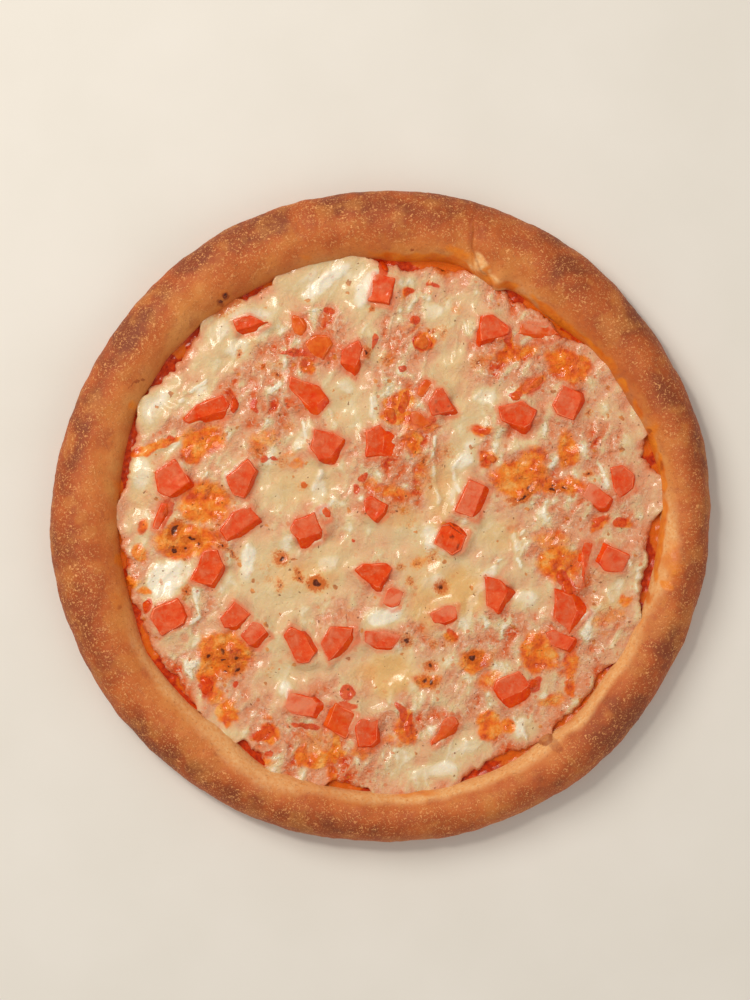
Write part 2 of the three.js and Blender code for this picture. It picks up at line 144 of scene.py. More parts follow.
# Browned, oily cheese, orange right through.
ORANGE = [
    (-80.4, 35.2, 9.4, 6.4, 0, 0.7), (-86.8, 29.8, 4.5, 4.5, 0, 0.9), (-80, 6.6, 10, 8.2, 0, 0.9),
    (-89.1, -10.7, 11.4, 6.4, 0, 1), (-71.4, -61.1, 10, 8.2, 0, 0.95),
    (-78.6, -70.2, 3.6, 9.1, 0, 1), (-76.4, -80.2, 4.1, 4.5, 0, 0.6),
    (-69.5, -88.4, 4.1, 5, 0, 0.95), (-103.2, 32, 12.3, 1.8, 20, 0.9),
    (-33.6, 68.4, 3.2, 3.2, 0, 0.8), (-39.1, 23.9, 2.7, 2.3, 0, 0.5),
    (-41.8, 29.8, 3.6, 1.8, 0, 0.4), (-53.2, 36.1, 5.9, 3.6, 0, 0.5),
    (19.1, 80.2, 4.1, 3.6, 0, 0.95), (14.1, 87, 4.5, 2.3, 20, 0.4), (11.8, 102.5, 1.8, 1.8, 0, 0.7),
    (34.5, 94.3, 2.7, 2.7, 0, 0.35), (8.6, 52.5, 5.5, 4.5, 0, 0.75), (3.2, 46.1, 3.6, 3.2, 0, 0.8),
    (14.1, 43.9, 10, 2.7, -10, 0.85), (13.6, 35.2, 4.5, 6.4, 0, 0.6),
    (48.2, 26.6, 3.6, 3.2, 0, 0.8), (45, 40.2, 4.5, 2.3, 0, 0.7), (62.7, 17, 11.4, 6.8, 0, 0.9),
    (84.1, 30.7, 4.5, 7.3, 0, 0.8), (81.8, 14.3, 9.1, 3.2, 0, 0.75), (68.2, 27.5, 6.4, 4.5, 0, 0.6),
    (59.5, 74.3, 10.9, 3.2, 10, 0.6), (57.3, 79.3, 2.3, 4.1, 0, 0.7),
    (84.5, 69.8, 9.1, 5.5, -20, 0.9), (67.3, 59.8, 6.8, 1.8, 35, 0.95),
    (80.9, -20.2, 8.2, 6.4, 0, 1), (77.3, -10.2, 8, 4.4, 0, 0.5), (99.1, -2.5, 5, 1.8, 30, 0.7),
    (109.1, -3, 3.2, 2.3, 0, 0.7), (70.9, -61.1, 7.3, 8.2, 0, 0.85),
    (80.9, -67.5, 4.5, 3.6, 0, 0.6), (85.4, -65.7, 3.2, 6.8, 0, 0.75),
    (85, -76.6, 2.7, 4.1, 0, 0.8), (77.3, -82.9, 6.4, 3.2, 0, 0.6), (48.6, -94.3, 5, 5.9, 0, 0.95),
    (57.3, -93.9, 2.7, 3.2, 0, 0.85), (11.4, -95.7, 4.5, 7.3, 10, 0.75),
    (5, -100.2, 4.5, 3.2, 0, 0.5), (-25.9, -108.9, 9.1, 2.7, 15, 0.85),
    (-37.3, -108.4, 3.2, 4.1, 0, 0.85), (-20.9, -101.6, 1.8, 5.5, 0, 0.7),
    (-23.6, -115.2, 2.3, 4.1, 0, 0.6), (-28.2, -102, 10, 5.9, 0, 0.35),
    (-50.9, -97.5, 3.6, 3.6, 0, 0.95), (30.9, -53.9, 3.6, 2.3, 0, 0.7),
    (41.8, -64.8, 5.9, 4.5, 0, 0.8), (49, -73, 6, 3.6, 20, 0.6), (-9, -106, 5, 3, 0, 0.5),
    (20.9, -74.3, 5.9, 2.7, 0, 0.65),
    (5.9, 11.6, 6.4, 2.7, -15, 0.55), (17.3, 18, 3.6, 7.3, 0, 0.4), (-4.5, 15.2, 4.5, 2.7, 0, 0.5),
    (110.4, -37.5, 2.7, 2.7, 0, 0.6), (100, -46.6, 5.5, 3.2, 0, 0.4),
    (-110, -16.1, 3.2, 3.6, 0, 0.8), (-108.6, -4.3, 2.3, 3.2, 0, 0.7),
    (-117.7, -19.3, 1.8, 3.2, 0, 0.9), (-114.1, -28.9, 4.1, 1.8, 0, 0.8),
    (-51.8, -90.2, 2.7, 1.8, 0, 0.6), (-52.7, -111.6, 4.1, 1.8, 0, 0.6),
    (-106.4, -33.4, 3.2, 1.8, 0, 0.6), (-60, 9.8, 1.4, 1.4, 0, 0.3),
    (-14.5, -43, 4.5, 2.3, 0, 0.25), (16.4, -20.2, 3.6, 2.3, 0, 0.4),
    (60.4, -4.8, 3.2, 2.3, 0, 0.4), (106.4, -43, 3.6, 2.3, 0, 0.4),
]
# Flat pools of cheese with a film of yellow fat.
AMBER = [
    (31.8, 60.2, 9.1, 17.3, 0, 0.35), (26.4, 11.6, 5.5, 18.2, 0, 0.6),
    (-15.5, 47.9, 11.8, 10.9, 0, 0.2), (-37.3, 16.1, 14.5, 12.7, 0, 0.4),
    (-33.6, -25.7, 15.5, 7.3, 0, 0.6), (1.4, -72, 12.7, 8.2, 0, 0.95),
    (-13.6, -62.5, 10, 6.4, 0, 0.2), (36.4, -33.9, 10, 8.2, 0, 1), (19.5, -39.3, 7.3, 12.7, 0, 0.7),
    (21.8, -20.2, 10.9, 6.4, 0, 0.5), (-56.4, 80.7, 5.5, 5.5, 0, 0.4), (33.6, 87, 8.2, 9.1, 0, 0.2),
    (54.5, -6.6, 8.2, 6.4, 0, 0.5), (101.8, -42, 7.3, 4.5, 0, 0.6), (6.4, -1.1, 12.7, 5.5, 0, 0.6),
    (-24.5, -12.5, 13.6, 5.5, 0, 0.35), (-62.7, 44.3, 9.1, 6.4, 0, 0.2),
    (-30.5, -102, 9.1, 5.5, 0, 0.6), (99.1, -28.4, 7.3, 5.5, 0, 0.4), (-110, 8, 6.4, 6.4, 0, 0.35),
    (-50.9, -19.3, 8.2, 4.5, 0, 0.3),
]
# Calm creamy stretches where the cheese lies thickest.
POOLS = [
    (-22, 108, 26, 9, 5, 1), (-10, 96, 10, 12, 0, 0.8), (-72, 78, 18, 9, 45, 0.75),
    (-50, 92, 14, 7, 15, 0.8), (-112, 22, 5, 14, 0, 0.8), (-104, 48, 12, 8, 55, 0.8),
    (-63, 36, 4, 12, 0, 0.6), (-13, 52, 10, 11, 0, 0.9), (-3, 85, 5, 14, 0, 0.6),
    (32, 72, 10, 14, 0, 0.9), (43, 92, 12, 7, -15, 0.5), (25, 90, 8, 6, 0, 0.8),
    (50, 57, 8, 6, 0, 0.9), (38, 45, 7, 16, 0, 0.9), (31, 22, 7, 20, -25, 0.9),
    (60, 33, 8, 3, 0, 0.7), (100, 50, 6, 10, 20, 0.2), (112, 38, 4, 8, 0, 0.4),
    (-38, 40, 6, 8, 0, 0.8), (-38, 15, 18, 10, 0, 0.8), (-14, 40, 5, 8, 0, 0.7),
    (-52, -25, 12, 16, 20, 0.9), (-35, -35, 22, 10, 0, 0.8), (-22, -18, 14, 7, 0, 0.8),
    (-97, -28, 10, 7, 25, 1), (-112, -5, 4, 10, 0, 0.6), (-78, -48, 8, 5, 0, 0.6),
    (0, -46, 8, 4, 10, 1), (20, -42, 7, 8, 0, 0.45), (36, -30, 12, 12, 0, 0.8),
    (20, -20, 11, 8, 0, 0.8), (48, -10, 12, 8, 0, 0.7), (-40, -72, 13, 9, 0, 0.9),
    (-60, -72, 6, 10, 0, 0.5), (0, -70, 24, 10, 0, 0.8), (-8, -85, 10, 4, 0, 0.7),
    (22, -112, 18, 7, 10, 0.8), (40, -100, 10, 5, 20, 0.6), (10, -8, 17, 8, 0, 0.7),
    (65, -28, 8, 10, 0, 0.6), (66, -42, 8, 6, 0, 0.5), (64, -94, 5, 6, -25, 0.7),
    (32, 58, 9, 9, 0, 1), (-70, -28, 8, 8, 0, 0.6), (-50, -50, 12, 9, 0, 0.7),
    (-30, -68, 12, 8, 0, 0.7), (-70, -92, 8, 6, -30, 0.5), (104, -30, 6, 8, 0, 0.4),
    (-25, 20, 10, 8, 0, 0.7),
]
# Thick folds of white cheese, their white partly painted highlight.
WHITE = [
    (-25.9, 107, 11.8, 2.7, 38, 0.9), (-6.4, 104.3, 9.1, 3.6, 62, 0.95),
    (-5.9, 84.8, 3.6, 4.1, 0, 0.8), (-2.7, 51.6, 1.4, 10, 0, 0.7), (-10.5, 34.3, 1.1, 9.1, 0, 0.6),
    (-28.2, 9.8, 2.3, 5.5, -10, 0.7), (-35.5, 36.6, 2.7, 7.7, -32, 0.9),
    (-80.4, 57, 5.9, 3.2, 45, 0.95), (-101.8, 48.9, 9.1, 7.3, 45, 0.6),
    (-109.1, 20.2, 7.3, 6.4, 0, 0.55), (-91.8, 62.5, 8.2, 2.6, 40, 0.4),
    (-62.3, 93.4, 8.2, 4.1, 0, 0.7), (-74.5, 84.3, 6.4, 3.2, 40, 0.6),
    (-64.5, 76.1, 6.4, 4.1, 0, 0.7), (-56.4, 82.9, 4.1, 3.2, 0, 0.6),
    (-71.4, 68.9, 6.4, 3.2, 0, 0.5), (-60.9, -19.8, 2.7, 8.2, -8, 0.95),
    (-97.3, -28.4, 10.9, 7.7, 25, 1), (21.8, -8.4, 2.3, 6.4, 0, 0.85),
    (21.8, -30.2, 5.5, 4.1, 30, 0.8), (49.1, -27, 1.8, 10, -40, 0.95),
    (40.9, -40.2, 1.8, 7.3, -20, 0.8), (60.9, -13, 2, 7.7, -5, 0.95),
    (64.5, -38, 6.8, 4.1, 0, 0.75), (30.9, -63.9, 5.5, 5.9, 0, 0.6),
    (13.6, -77.9, 2.3, 2.7, 0, 0.8), (25.5, -82, 3.2, 3.2, 0, 0.6), (4.5, -81.6, 2.7, 3.6, 0, 0.5),
    (62.3, -95.2, 2.7, 5, -25, 0.9), (40, -104.8, 9.1, 3.6, 15, 0.75),
    (24.1, -114.8, 10, 3.6, 10, 0.75), (-34.5, -45.2, 2.7, 5.5, -10, 0.7),
    (0.9, -44.8, 6.8, 3.6, 15, 1), (-44.1, -77, 2.7, 3.2, 0, 0.8), (-23.2, -83.4, 3.6, 3.2, 0, 0.7),
    (-25.5, -22, 5, 3.2, 20, 0.6), (-72.7, -35.7, 2.3, 4.1, -30, 0.6),
    (46.8, 55.2, 5.5, 4.5, 0, 0.85), (53.6, 48.4, 4.5, 4.1, 0, 0.7), (65, 31.6, 5.9, 4.5, 0, 0.75),
    (75.9, 47.9, 1.8, 4.5, -20, 0.7), (30, 5.7, 1.8, 10.9, -15, 0.8),
    (40, 29.8, 2.7, 8.2, -35, 0.7), (104.5, 47.9, 4.1, 8.2, 30, 0.7),
    (111.8, 29.8, 3.6, 5.5, 0, 0.6), (23.2, 93.9, 4.1, 4.1, 0, 0.85),
    (11.8, 106.1, 3.6, 2.3, 0, 0.8), (34.5, 76.1, 3.6, 5.5, 0, 0.7), (40, 85.2, 1.8, 3.6, 0, 0.5),
    (48.2, 74.3, 3.2, 2.7, 0, 0.8), (4.5, 87.9, 2.3, 7.3, -30, 0.7),
    (102.3, 20.7, 1.8, 4.1, -15, 0.9), (90, 2.5, 4.5, 2.3, 0, 0.6),
    (114.1, -26.1, 2.3, 5.5, -20, 0.8), (108.2, -29.8, 2.7, 2.7, 0, 0.8),
    (120, -21.6, 1.4, 5.5, 0, 0.6), (65, -57, 5.5, 3.6, 20, 0.5), (75.4, -89.3, 3.6, 4.1, 0, 0.7),
    (-80.4, 87.5, 4.5, 1.4, 45, 0.7), (-105.4, 35.2, 4.5, 3.6, 0, 0.3),
    (-64.5, -88.4, 5.5, 4.5, 0, 0.5), (-66.8, -98.9, 7.3, 2.3, -15, 0.6),
    (-110, -19.3, 1.8, 5.5, 0, 0.3), (53.6, 23.9, 3.6, 2.3, 0, 0.7), (44.5, 20.2, 2.3, 1.8, 0, 0.5),
    (79.5, -62.5, 3.6, 3.2, 0, 0.5), (83.6, -62.5, 3.2, 2.7, 0, 0.5),
    (-16.4, 60.2, 3.2, 3.6, 0, 0.6), (-54.5, 92, 2.7, 1.8, 0, 0.6), (5.9, -112.5, 4.5, 4.5, 0, 0.4),
    (-4.5, -110.2, 3.6, 2.7, 0, 0.4), (-107.7, -5.7, 2.3, 8.2, 0, 0.6),
    (-84.5, -15.7, 1.4, 3.6, -35, 0.5), (-82.7, -55.7, 4.5, 2.7, 0, 0.4),
    (-96.4, -57.9, 6.4, 4.5, 0, 0.4), (-78.2, -37.5, 3.6, 4.5, 0, 0.3),
]
# Crests of folds where the cheese ran together, each a line through its points. They are raised,
# and painted white, partly as painted highlight.
FOLDS = [
    [(35.9, 27.5), (31.8, 21.6), (35.5, 11.6), (31.8, 6.1)],
    [(63.6, -5.7), (60, -10.7), (60.9, -17.5), (63.2, -22.5)],
    [(54.1, -18.9), (44.5, -27), (41.4, -35.7), (40.5, -42.5)],
    [(20.5, -2), (19.1, -9.3), (23.6, -13.4)], [(24.1, 36), (23.2, 22), (25, 4)],
    [(-85, -32.5), (-82.3, -45.2), (-91, -50.7)], [(-91.4, 52.5), (-80, 62)],
    [(-35.9, 43.4), (-34.1, 37), (-37.3, 32)], [(-4.1, 57.5), (-4.5, 46)],
    [(-61.4, -12.5), (-61.8, -25)], [(-30.9, 11.6), (-28.2, 20.7)], [(-79.5, 20.7), (-81.8, 15.2)],
    [(-10.5, 8), (-7.7, 11.6)], [(98, 26), (102, 14)], [(112, -20), (116, -32)],
    [(60, -92), (66, -100)], [(-45, -73), (-42, -82)],
]
# Burnt spots on the cheese.
CHAR = [
    (-29.5, -29.8, 2.3, 1.8, 0, 1), (-45.5, -18.4, 1.8, 1.8, 0, 0.9),
    (-37.3, -28, 1.1, 1.1, 0, 0.8), (-38.2, -24.8, 0.9, 0.9, 0, 0.7),
    (-46.4, -31.1, 0.9, 1.8, 0, 0.6), (-51.4, -28.4, 1.4, 0.9, 0, 0.45),
    (-52.7, -23, 1.4, 1.4, 0, 0.3), (26.8, -31.6, 1.8, 1.8, 0, 0.9), (40.9, -63.4, 1.8, 1.8, 0, 1),
    (21.8, -67.5, 1.6, 1.4, 0, 0.9), (23.2, -57.5, 1.1, 0.9, 0, 0.6),
    (10.9, -55.7, 1.8, 1.8, 0, 0.75), (19.1, -73.9, 1.4, 1.4, 0, 0.8),
    (22.7, -74.8, 1.4, 1.4, 0, 0.8), (16.4, -20.7, 1.8, 1.4, 0, 0.5),
    (22.7, -18.4, 1.8, 2.3, 0, 0.55), (8.6, -22.5, 1.1, 0.9, 0, 0.6),
    (12.7, -28.9, 0.9, 0.9, 0, 0.7), (-35.9, 14.3, 1.4, 1.1, 0, 0.5),
    (-16.4, 54.8, 1.4, 1.4, 0, 0.3), (-20.5, 45.7, 1.6, 1.4, 0, 0.3),
    (29.5, 30.2, 1.8, 1.8, 0, 0.5), (19.1, 25.7, 1.1, 1.8, 0, 0.6), (10.5, 3, 1.4, 1.4, 0, 0.45),
    (12.7, -3, 1.4, 1.1, 0, 0.4), (27.7, 83.4, 1.6, 1.8, 0, 0.5), (2.3, 71.6, 1.8, 1.8, 0, 0.5),
    (43.6, 69.8, 1.8, 2.3, 0, 0.55), (-41.8, 41.1, 1.4, 1.4, 0, 0.5),
    (-56.4, 30.2, 1.8, 1.4, 0, 0.6), (-45, 25.2, 1.4, 1.4, 0, 0.5), (30.9, -55.7, 1.4, 1.4, 0, 0.5),
    (38.6, -75.2, 1.4, 0.9, 0, 0.4), (-94.1, -5.7, 1.4, 3.2, -30, 0.95),
    (-86.4, -9.3, 2.7, 0.9, 0, 0.95), (-83.2, -11.6, 0.9, 1.4, 0, 0.95),
    (-89.1, -13.9, 1.1, 1.1, 0, 0.9), (-94.1, -15.2, 1.8, 0.9, 0, 0.95),
    (-72.3, -12.5, 1.4, 1.1, 0, 0.9), (-68.2, -16.1, 0.7, 2.7, 40, 0.7),
    (-74.5, -3, 0.9, 2.3, 0, 0.6), (-72.3, -60.7, 1.8, 2.3, -20, 0.75),
    (-72.3, -64.3, 1.6, 0.9, 0, 0.95), (-65.9, -63.6, 1.6, 1.1, 30, 0.8),
    (-65.2, -68.9, 1.8, 1.4, 50, 0.9), (-70.6, -69.6, 1.2, 0.7, 0, 0.8),
    (-79.1, -62.9, 1.1, 0.9, 0, 0.9), (-69.5, -66.6, 0.9, 0.9, 0, 0.8),
    (-72.7, -72.9, 1.8, 0.9, 0, 0.6), (64.5, 9.8, 3.6, 0.7, 35, 1), (60.9, 8, 2.3, 0.7, 0, 0.9),
    (66.8, 13.9, 0.9, 1.8, -20, 0.7), (63.2, 18, 2.3, 1.4, 0, 0.5), (74.1, 21.1, 1.4, 1.4, 0, 0.5),
    (83.2, 25.7, 0.9, 1.4, 0, 0.6), (77.3, 13, 1.8, 0.7, 0, 0.85), (82.3, 13.9, 1.4, 0.7, 0, 0.9),
    (93.2, 19.8, 1.4, 0.7, 0, 0.85), (77.3, 14.3, 0.9, 0.9, 0, 0.7), (82.7, 28.4, 1.4, 0.9, 0, 0.3),
    (-78.2, 13, 1.8, 1.8, 0, 0.5), (-70.9, 8.9, 0.9, 1.8, 0, 0.5), (50, -62.9, 0.9, 1.8, -30, 0.5),
    (-7.3, 75.2, 1.1, 1.6, 0, 1), (-46.4, 69.8, 1.4, 0.9, -40, 0.5),
    (-47.7, 64.3, 1.8, 0.7, -30, 0.7), (-4.5, 94.3, 0.7, 0.7, 0, 0.9),
    (-64.5, 74.3, 0.9, 0.9, 0, 0.7), (-54.1, 68.4, 1.6, 1.1, 0, 0.55),
    (20.9, 84.8, 0.7, 0.7, 0, 0.9), (23.2, 84.8, 0.8, 0.7, 0, 0.9), (21.8, 101.6, 0.7, 0.5, 0, 0.7),
    (30, 99.3, 0.8, 0.7, 0, 0.4), (9.1, 98.9, 0.9, 0.7, 0, 0.5), (93.6, 47.5, 0.9, 0.9, 0, 0.6),
    (99.1, -10.7, 0.9, 0.7, 0, 0.4), (100, -52.5, 1.8, 0.7, 0, 0.4),
    (77.3, -13.9, 0.9, 0.9, 0, 0.6), (-50.9, -69.3, 0.9, 1.8, -20, 0.4),
    (-100.4, -29.8, 0.7, 0.7, 0, 0.6), (-88.6, -33.4, 1.1, 1.4, 0, 0.8),
    (-70.9, 100.2, 3.8, 3.2, 40, 1), (-72.9, 97.6, 2.8, 2.6, 0, 1), (27.7, 113.4, 1.8, 1.8, 0, 1),
]
# Patches of the rim painted darkest: browning, and along the lower right and right outer edge
# also painted shade.
BAKED_AND_SHADED = [
    (-85, 114.8, 6.8, 4.1, 20, 0.8), (-48.6, 131.6, 5.9, 4.1, 0, 0.6),
    (83.2, 107.9, 9.1, 6.4, -20, 0.8), (115, 93.4, 5.5, 4.5, 0, 0.5),
    (119.5, 58.9, 11.8, 9.1, -40, 0.8), (-110, 85.2, 8.2, 6.4, 40, 0.5),
    (-105.4, -94.3, 10.9, 7.3, -40, 0.6), (-80.4, -115.7, 7.3, 4.1, -30, 0.6),
    (-68.2, -124.3, 5.5, 3.6, 0, 0.6), (-57.7, -128.4, 5.5, 3.2, 0, 0.5),
    (110.4, -89.8, 19.1, 10, 45, 0.65), (90, -112.5, 18.2, 7.3, 30, 0.4),
    (62.7, -128.4, 18.2, 6.4, 15, 0.4), (147.3, -28.4, 3.6, 22.7, 0, 0.5),
    (140, 21.6, 4.5, 11.8, 0, 0.3), (-128.2, -37.5, 6.4, 11.8, 0, 0.4),
    (-132.7, -10.2, 5.5, 8.2, 0, 0.3), (-119.1, -64.8, 7.3, 9.1, -30, 0.4),
    (-23.6, 139.8, 9.1, 4.1, 0, 0.3), (21.8, 134.3, 6.4, 3.6, 0, 0.3),
    (99.1, 121.6, 6.4, 4.5, -40, 0.4), (103.6, 85.2, 6.4, 5.5, 0, 0.3),
    (-12.3, -137.5, 13.6, 3.6, 0, 0.4), (30.9, -138.4, 11.8, 3.6, 0, 0.4),
    (-71.4, 128.4, 5.5, 3.6, 30, 0.35), (-96.4, 98.9, 5.5, 4.5, 40, 0.3),
    (-136.3, 30.7, 4.5, 9.1, 0, 0.3), (-37.3, -135.2, 7.3, 3.6, -20, 0.3),
    (126.4, -55.7, 7.3, 6.4, 0, 0.5), (135.4, -73.9, 6.4, 13.6, -20, 0.5),
    (144.5, 39.8, 3.6, 9.1, 0, 0.3),
]
# Orange fat and sauce that ran up the rim's inner slope.
STAINS = [
    (130.9, -20.2, 5.5, 11.8, 0, 0.8), (128.2, -29.8, 2.7, 2.7, 0, 1),
    (120.4, -36.1, 2.7, 2.7, 0, 0.9), (101.8, 68.4, 4.1, 8.2, 25, 0.9),
    (120.9, 36.6, 3.6, 8.6, -20, 0.9), (130, -18.4, 3.6, 1.8, 0, 0.8),
    (-112.3, 50.7, 2.7, 2.7, 0, 0.9), (-33.6, 117.9, 2.7, 1.8, 0, 0.7),
    (15, -123.9, 11.8, 2.7, 0, 0.8), (-35, -112.5, 11.8, 2.7, -5, 0.5),
    (-113.6, -30.7, 3.6, 3.6, 0, 0.6), (-109.1, -33, 2.7, 2.3, 0, 0.7),
    (-118.2, -19.3, 2.3, 3.6, 0, 0.8), (-117.3, 1.1, 2.3, 8.2, 0, 0.6),
    (-120, 12.5, 2.3, 5.5, 0, 0.6), (85.4, -89.8, 5.5, 2.7, 40, 0.6),
    (94.5, -78.4, 3.6, 6.4, -30, 0.6), (58.2, -106.6, 10.9, 2.7, 12, 0.7),
    (21.8, 114.3, 7.3, 2.3, -10, 0.9), (33.2, 116.1, 5.5, 3.6, 20, 0.9),
    (30.9, 113.4, 9.1, 3.2, 0, 0.8), (48.4, 111.8, 1.4, 2.6, 10, 1), (34.5, 119.5, 8, 2.8, -8, 0.9),
    (71.8, 90.7, 9.1, 4.5, -40, 0.4), (83.2, 78.4, 10.9, 3.6, -40, 0.6),
    (94.5, 64.8, 7.3, 2.7, -45, 0.7), (-37.3, -105.7, 9.1, 2.7, 0, 0.3),
    (-16.8, -121.6, 10, 2.3, 0, 0.7), (-87.3, -78.4, 6.4, 2.3, -40, 0.8),
    (-105.4, -55.7, 2.7, 7.3, 20, 0.5), (-71.4, 100.2, 2.7, 2.7, 0, 0.5),
    (-64.5, 123.9, 4.5, 2.7, 20, 0.3), (80.9, 89.8, 2.7, 1.8, 0, 0.5),
    (126.4, 21.6, 3.6, 4.5, 0, 0.4), (67.3, 90.7, 4.5, 2.3, -35, 0.5),
    (124.1, -5.7, 2.3, 8.2, 0, 0.8), (-119.1, -37.5, 5.5, 5.5, 0, 0.5),
]
# Small scorched marks on the rim.
SCABS = [
    (-70.9, 100.2, 1.4, 1.4, 0, 1), (-73.2, 97, 1.4, 1.4, 0, 0.7), (13.6, 120.7, 0.9, 0.9, 0, 0.8),
    (27.7, 112.9, 0.9, 0.9, 0, 1), (-110, 61.6, 2.7, 0.6, 20, 0.8),
    (-113.2, 59.6, 1.6, 0.5, 50, 0.7), (-71.8, 98.9, 0.9, 2.3, 10, 0.5),
    (120.9, 39.3, 0.9, 1.4, 30, 0.7), (-128.2, 13.9, 1.4, 1.4, 0, 0.4),
    (80.9, 88.9, 0.9, 0.9, 0, 0.5), (-118.2, -40.2, 0.9, 1.4, 0, 0.6),
    (126.4, 23.4, 0.9, 2.3, 0, 0.6), (-85, 114.8, 2.7, 1.8, 0, 0.5), (-80, -82.9, 0.9, 0.9, 0, 0.3),
    (-89.5, -101.1, 0.7, 2.3, -20, 0.5),
]
# The big blister at the foot of the rim (x, y, radius), the scorched tail that runs out of it (an
# oval like those above), and scorched lumps of dough (x, y, radius, height).
BLISTER = (74.1, -100.3, 3.9)
BLISTER_TAIL = (78.2, -103.0, 4.0, 2.8, -40, 0.56)
SCAB_LUMPS = [(-126.5, 13.5, 3.2, 0.8), (-123.0, 10.5, 2.2, 0.6), (77.5, -104.0, 2.6, 0.4)]
# Pale lips of dough at the inner end of the seam. The first two also stand out from the wall.
FLAPS = [
    (45.5, 113.4, 5.8, 2.4, -62, 1), (52.3, 106.8, 4.4, 2, -40, 1), (38.5, 114, 5, 1.4, -20, 0.7),
]
# Angle, spread, size: how pale the foot of the inner slope is, as pale dough and as painted light
# strongest on the sides that face the lamps; how much further up than usual the pale part reaches;
# and where the outside of the rim gets more or less painted shade on top of its browning.
PALE_FOOT = [
    (-6, 11, 1.1), (-42, 24, 1.1), (-80, 18, 0.95), (-120, 24, 0.8), (-150, 14, 0.5),
    (25, 14, 0.35), (58, 14, 0.5), (105, 16, 0.35), (150, 14, 0.2),
]
PALE_REACH = [(242, 14, 5), (-6, 11, 4.5)]
SIDE_SHADE = [(150, 50, 0.12), (292, 34, -0.16)]
# Stretches of the sauce's edge that carry orange fat.
SAUCE_FAT = [
    (48, 98, 18, 3, -20, 0.8), (78, 82, 12, 4, -45, 0.9), (104, 55, 12, 4, -58, 0.9),
    (64, -108, 14, 2, 20, 0.8), (95, -78, 12, 3, 48, 0.9), (82, -92, 8, 3, 42, 0.9),
    (-50, 104, 6, 3, 20, 0.9), (-92, 76, 4, 5, 45, 0.8), (-120, -5, 3, 16, 0, 0.9),
    (124, -2, 3, 12, 0, 0.7), (122, 30, 3, 5, 0, 0.4),
]
# Small bits of tomato on the cheese: x, y, half length, half width, turn, height, orange share.
TOMATO_BITS = [
    (0.9, 114.3, 1.8, 5, 0, 1.2, 0.05), (-39.1, 74.3, 7.3, 1.4, -8, 0.8, 0.1),
    (60.9, 54.8, 2.7, 1.8, 0, 1, 0.4), (69.5, 60.2, 4.1, 1.8, 45, 1.2, 0.7),
    (-53.6, -97.9, 5.5, 2.3, 25, 1.2, 0.2), (-15, -79.8, 2.7, 2.7, 0, 0.9, 0),
    (-65.9, -75.2, 1.4, 1.4, 0, 0.5, 0.2), (10, 51.6, 1.8, 4.5, 0, 1, 0.6),
    (3.6, 46.6, 2.7, 3.2, 0, 1, 0.7), (18.2, 79.3, 3.6, 3.2, 0, 1.3, 0.8),
    (49.5, 26.6, 2.3, 1.8, 0, 1, 0.9), (45, 40.2, 3.2, 1.4, 0, 0.7, 0.6),
    (8.2, -88.4, 1.8, 3.6, 20, 0.8, 0.5), (12.7, -92.9, 1.4, 4.5, -15, 0.8, 0.6),
    (31.8, -52.9, 1.8, 3.2, 20, 0.8, 0.6), (68.6, -75.2, 3.6, 1.8, 30, 1, 0.1),
    (108.2, -2, 2.3, 2.7, 0, 0.8, 0.5), (-13.2, -9.8, 0.9, 0.9, 0, 0.4, 0),
    (-95.9, 36.1, 1.8, 1.1, 20, 0.6, 0), (-23.6, 92.9, 2.3, 1.4, 0, 0.6, 0.2),
    (-4.1, 79.8, 1.1, 3.2, -5, 0.7, 0.5), (-57.7, 50.2, 1.4, 2.7, 10, 0.8, 0.7),
    (-35, 14.8, 1.4, 1.4, 0, 0.5, 0.2), (-8.2, 18, 1.8, 1.4, 20, 0.6, 0.1),
    (-10.9, 13, 1.4, 1.4, 0, 0.5, 0.1), (-34.1, -94.3, 5.5, 1.1, -10, 0.7, 0),
    (-50.9, -107, 1.8, 1.4, 20, 0.6, 0.3), (-80, -76.6, 3.2, 4.1, 0, 1, 0),
    (-106.4, -40.2, 2.3, 2.7, 30, 1.2, 0.1), (17.3, 44.3, 6.4, 1.4, 5, 0.8, 0.4),
    (9.1, 67.9, 1.8, 1.4, 0, 0.5, 0.3),
    (57.3, 81.6, 1.8, 4.1, 0, 0.9, 0.5), (-54.1, 68.9, 1.4, 0.9, 10, 0.5, 0),
    (-66.8, 50.7, 1.8, 3.6, -15, 1.2, 0), (-97.7, 2.5, 2.3, 6.4, -15, 1, 0.2),
    (15, 88.9, 2.7, 1.8, 20, 0.6, 0.8), (22.7, 105.7, 2.7, 0.9, 0, 0.4, 0.9),
    (12.3, 102.5, 1.8, 1.8, 0, 0.6, 0.9), (84.1, -31.6, 2.7, 3.6, 0, 1, 0.2),
    (81.8, -27.5, 2.7, 2.7, 0, 1, 0.1), (43.6, 40.7, 1.8, 1.4, 0, 0.5, 0.7),
    (47.7, 39.3, 1.6, 1.4, 0, 0.6, 0.3), (99.1, -1.1, 2.7, 1.4, 40, 0.6, 0.2),
    (117.3, -55.7, 1.4, 2.7, -25, 0.7, 0.3), (-16.4, -84.8, 4.5, 1.4, -10, 0.8, 0.1),
    (-53.2, 27, 1.8, 1.4, 0, 0.4, 0.2), (-48.2, 27, 1.4, 0.9, 0, 0.3, 0.1),
]

# ---- smooth random relief ----
HASH_STEPS = np.array([0x9E3779B97F4A7C15, 0xC2B2AE3D27D4EB4F, 0x165667B19E3779F9], dtype=np.uint64)
HASH_MIX = np.uint64(0xBF58476D1CE4E5B9)
HASH_SHIFT = np.uint64(29)
SLOPE_BITS = np.array([7, 23, 41], dtype=np.uint64)
SLOPE_TOP = 1023
SEED_STEP = 19.19
NOISE_GAIN = 1.5


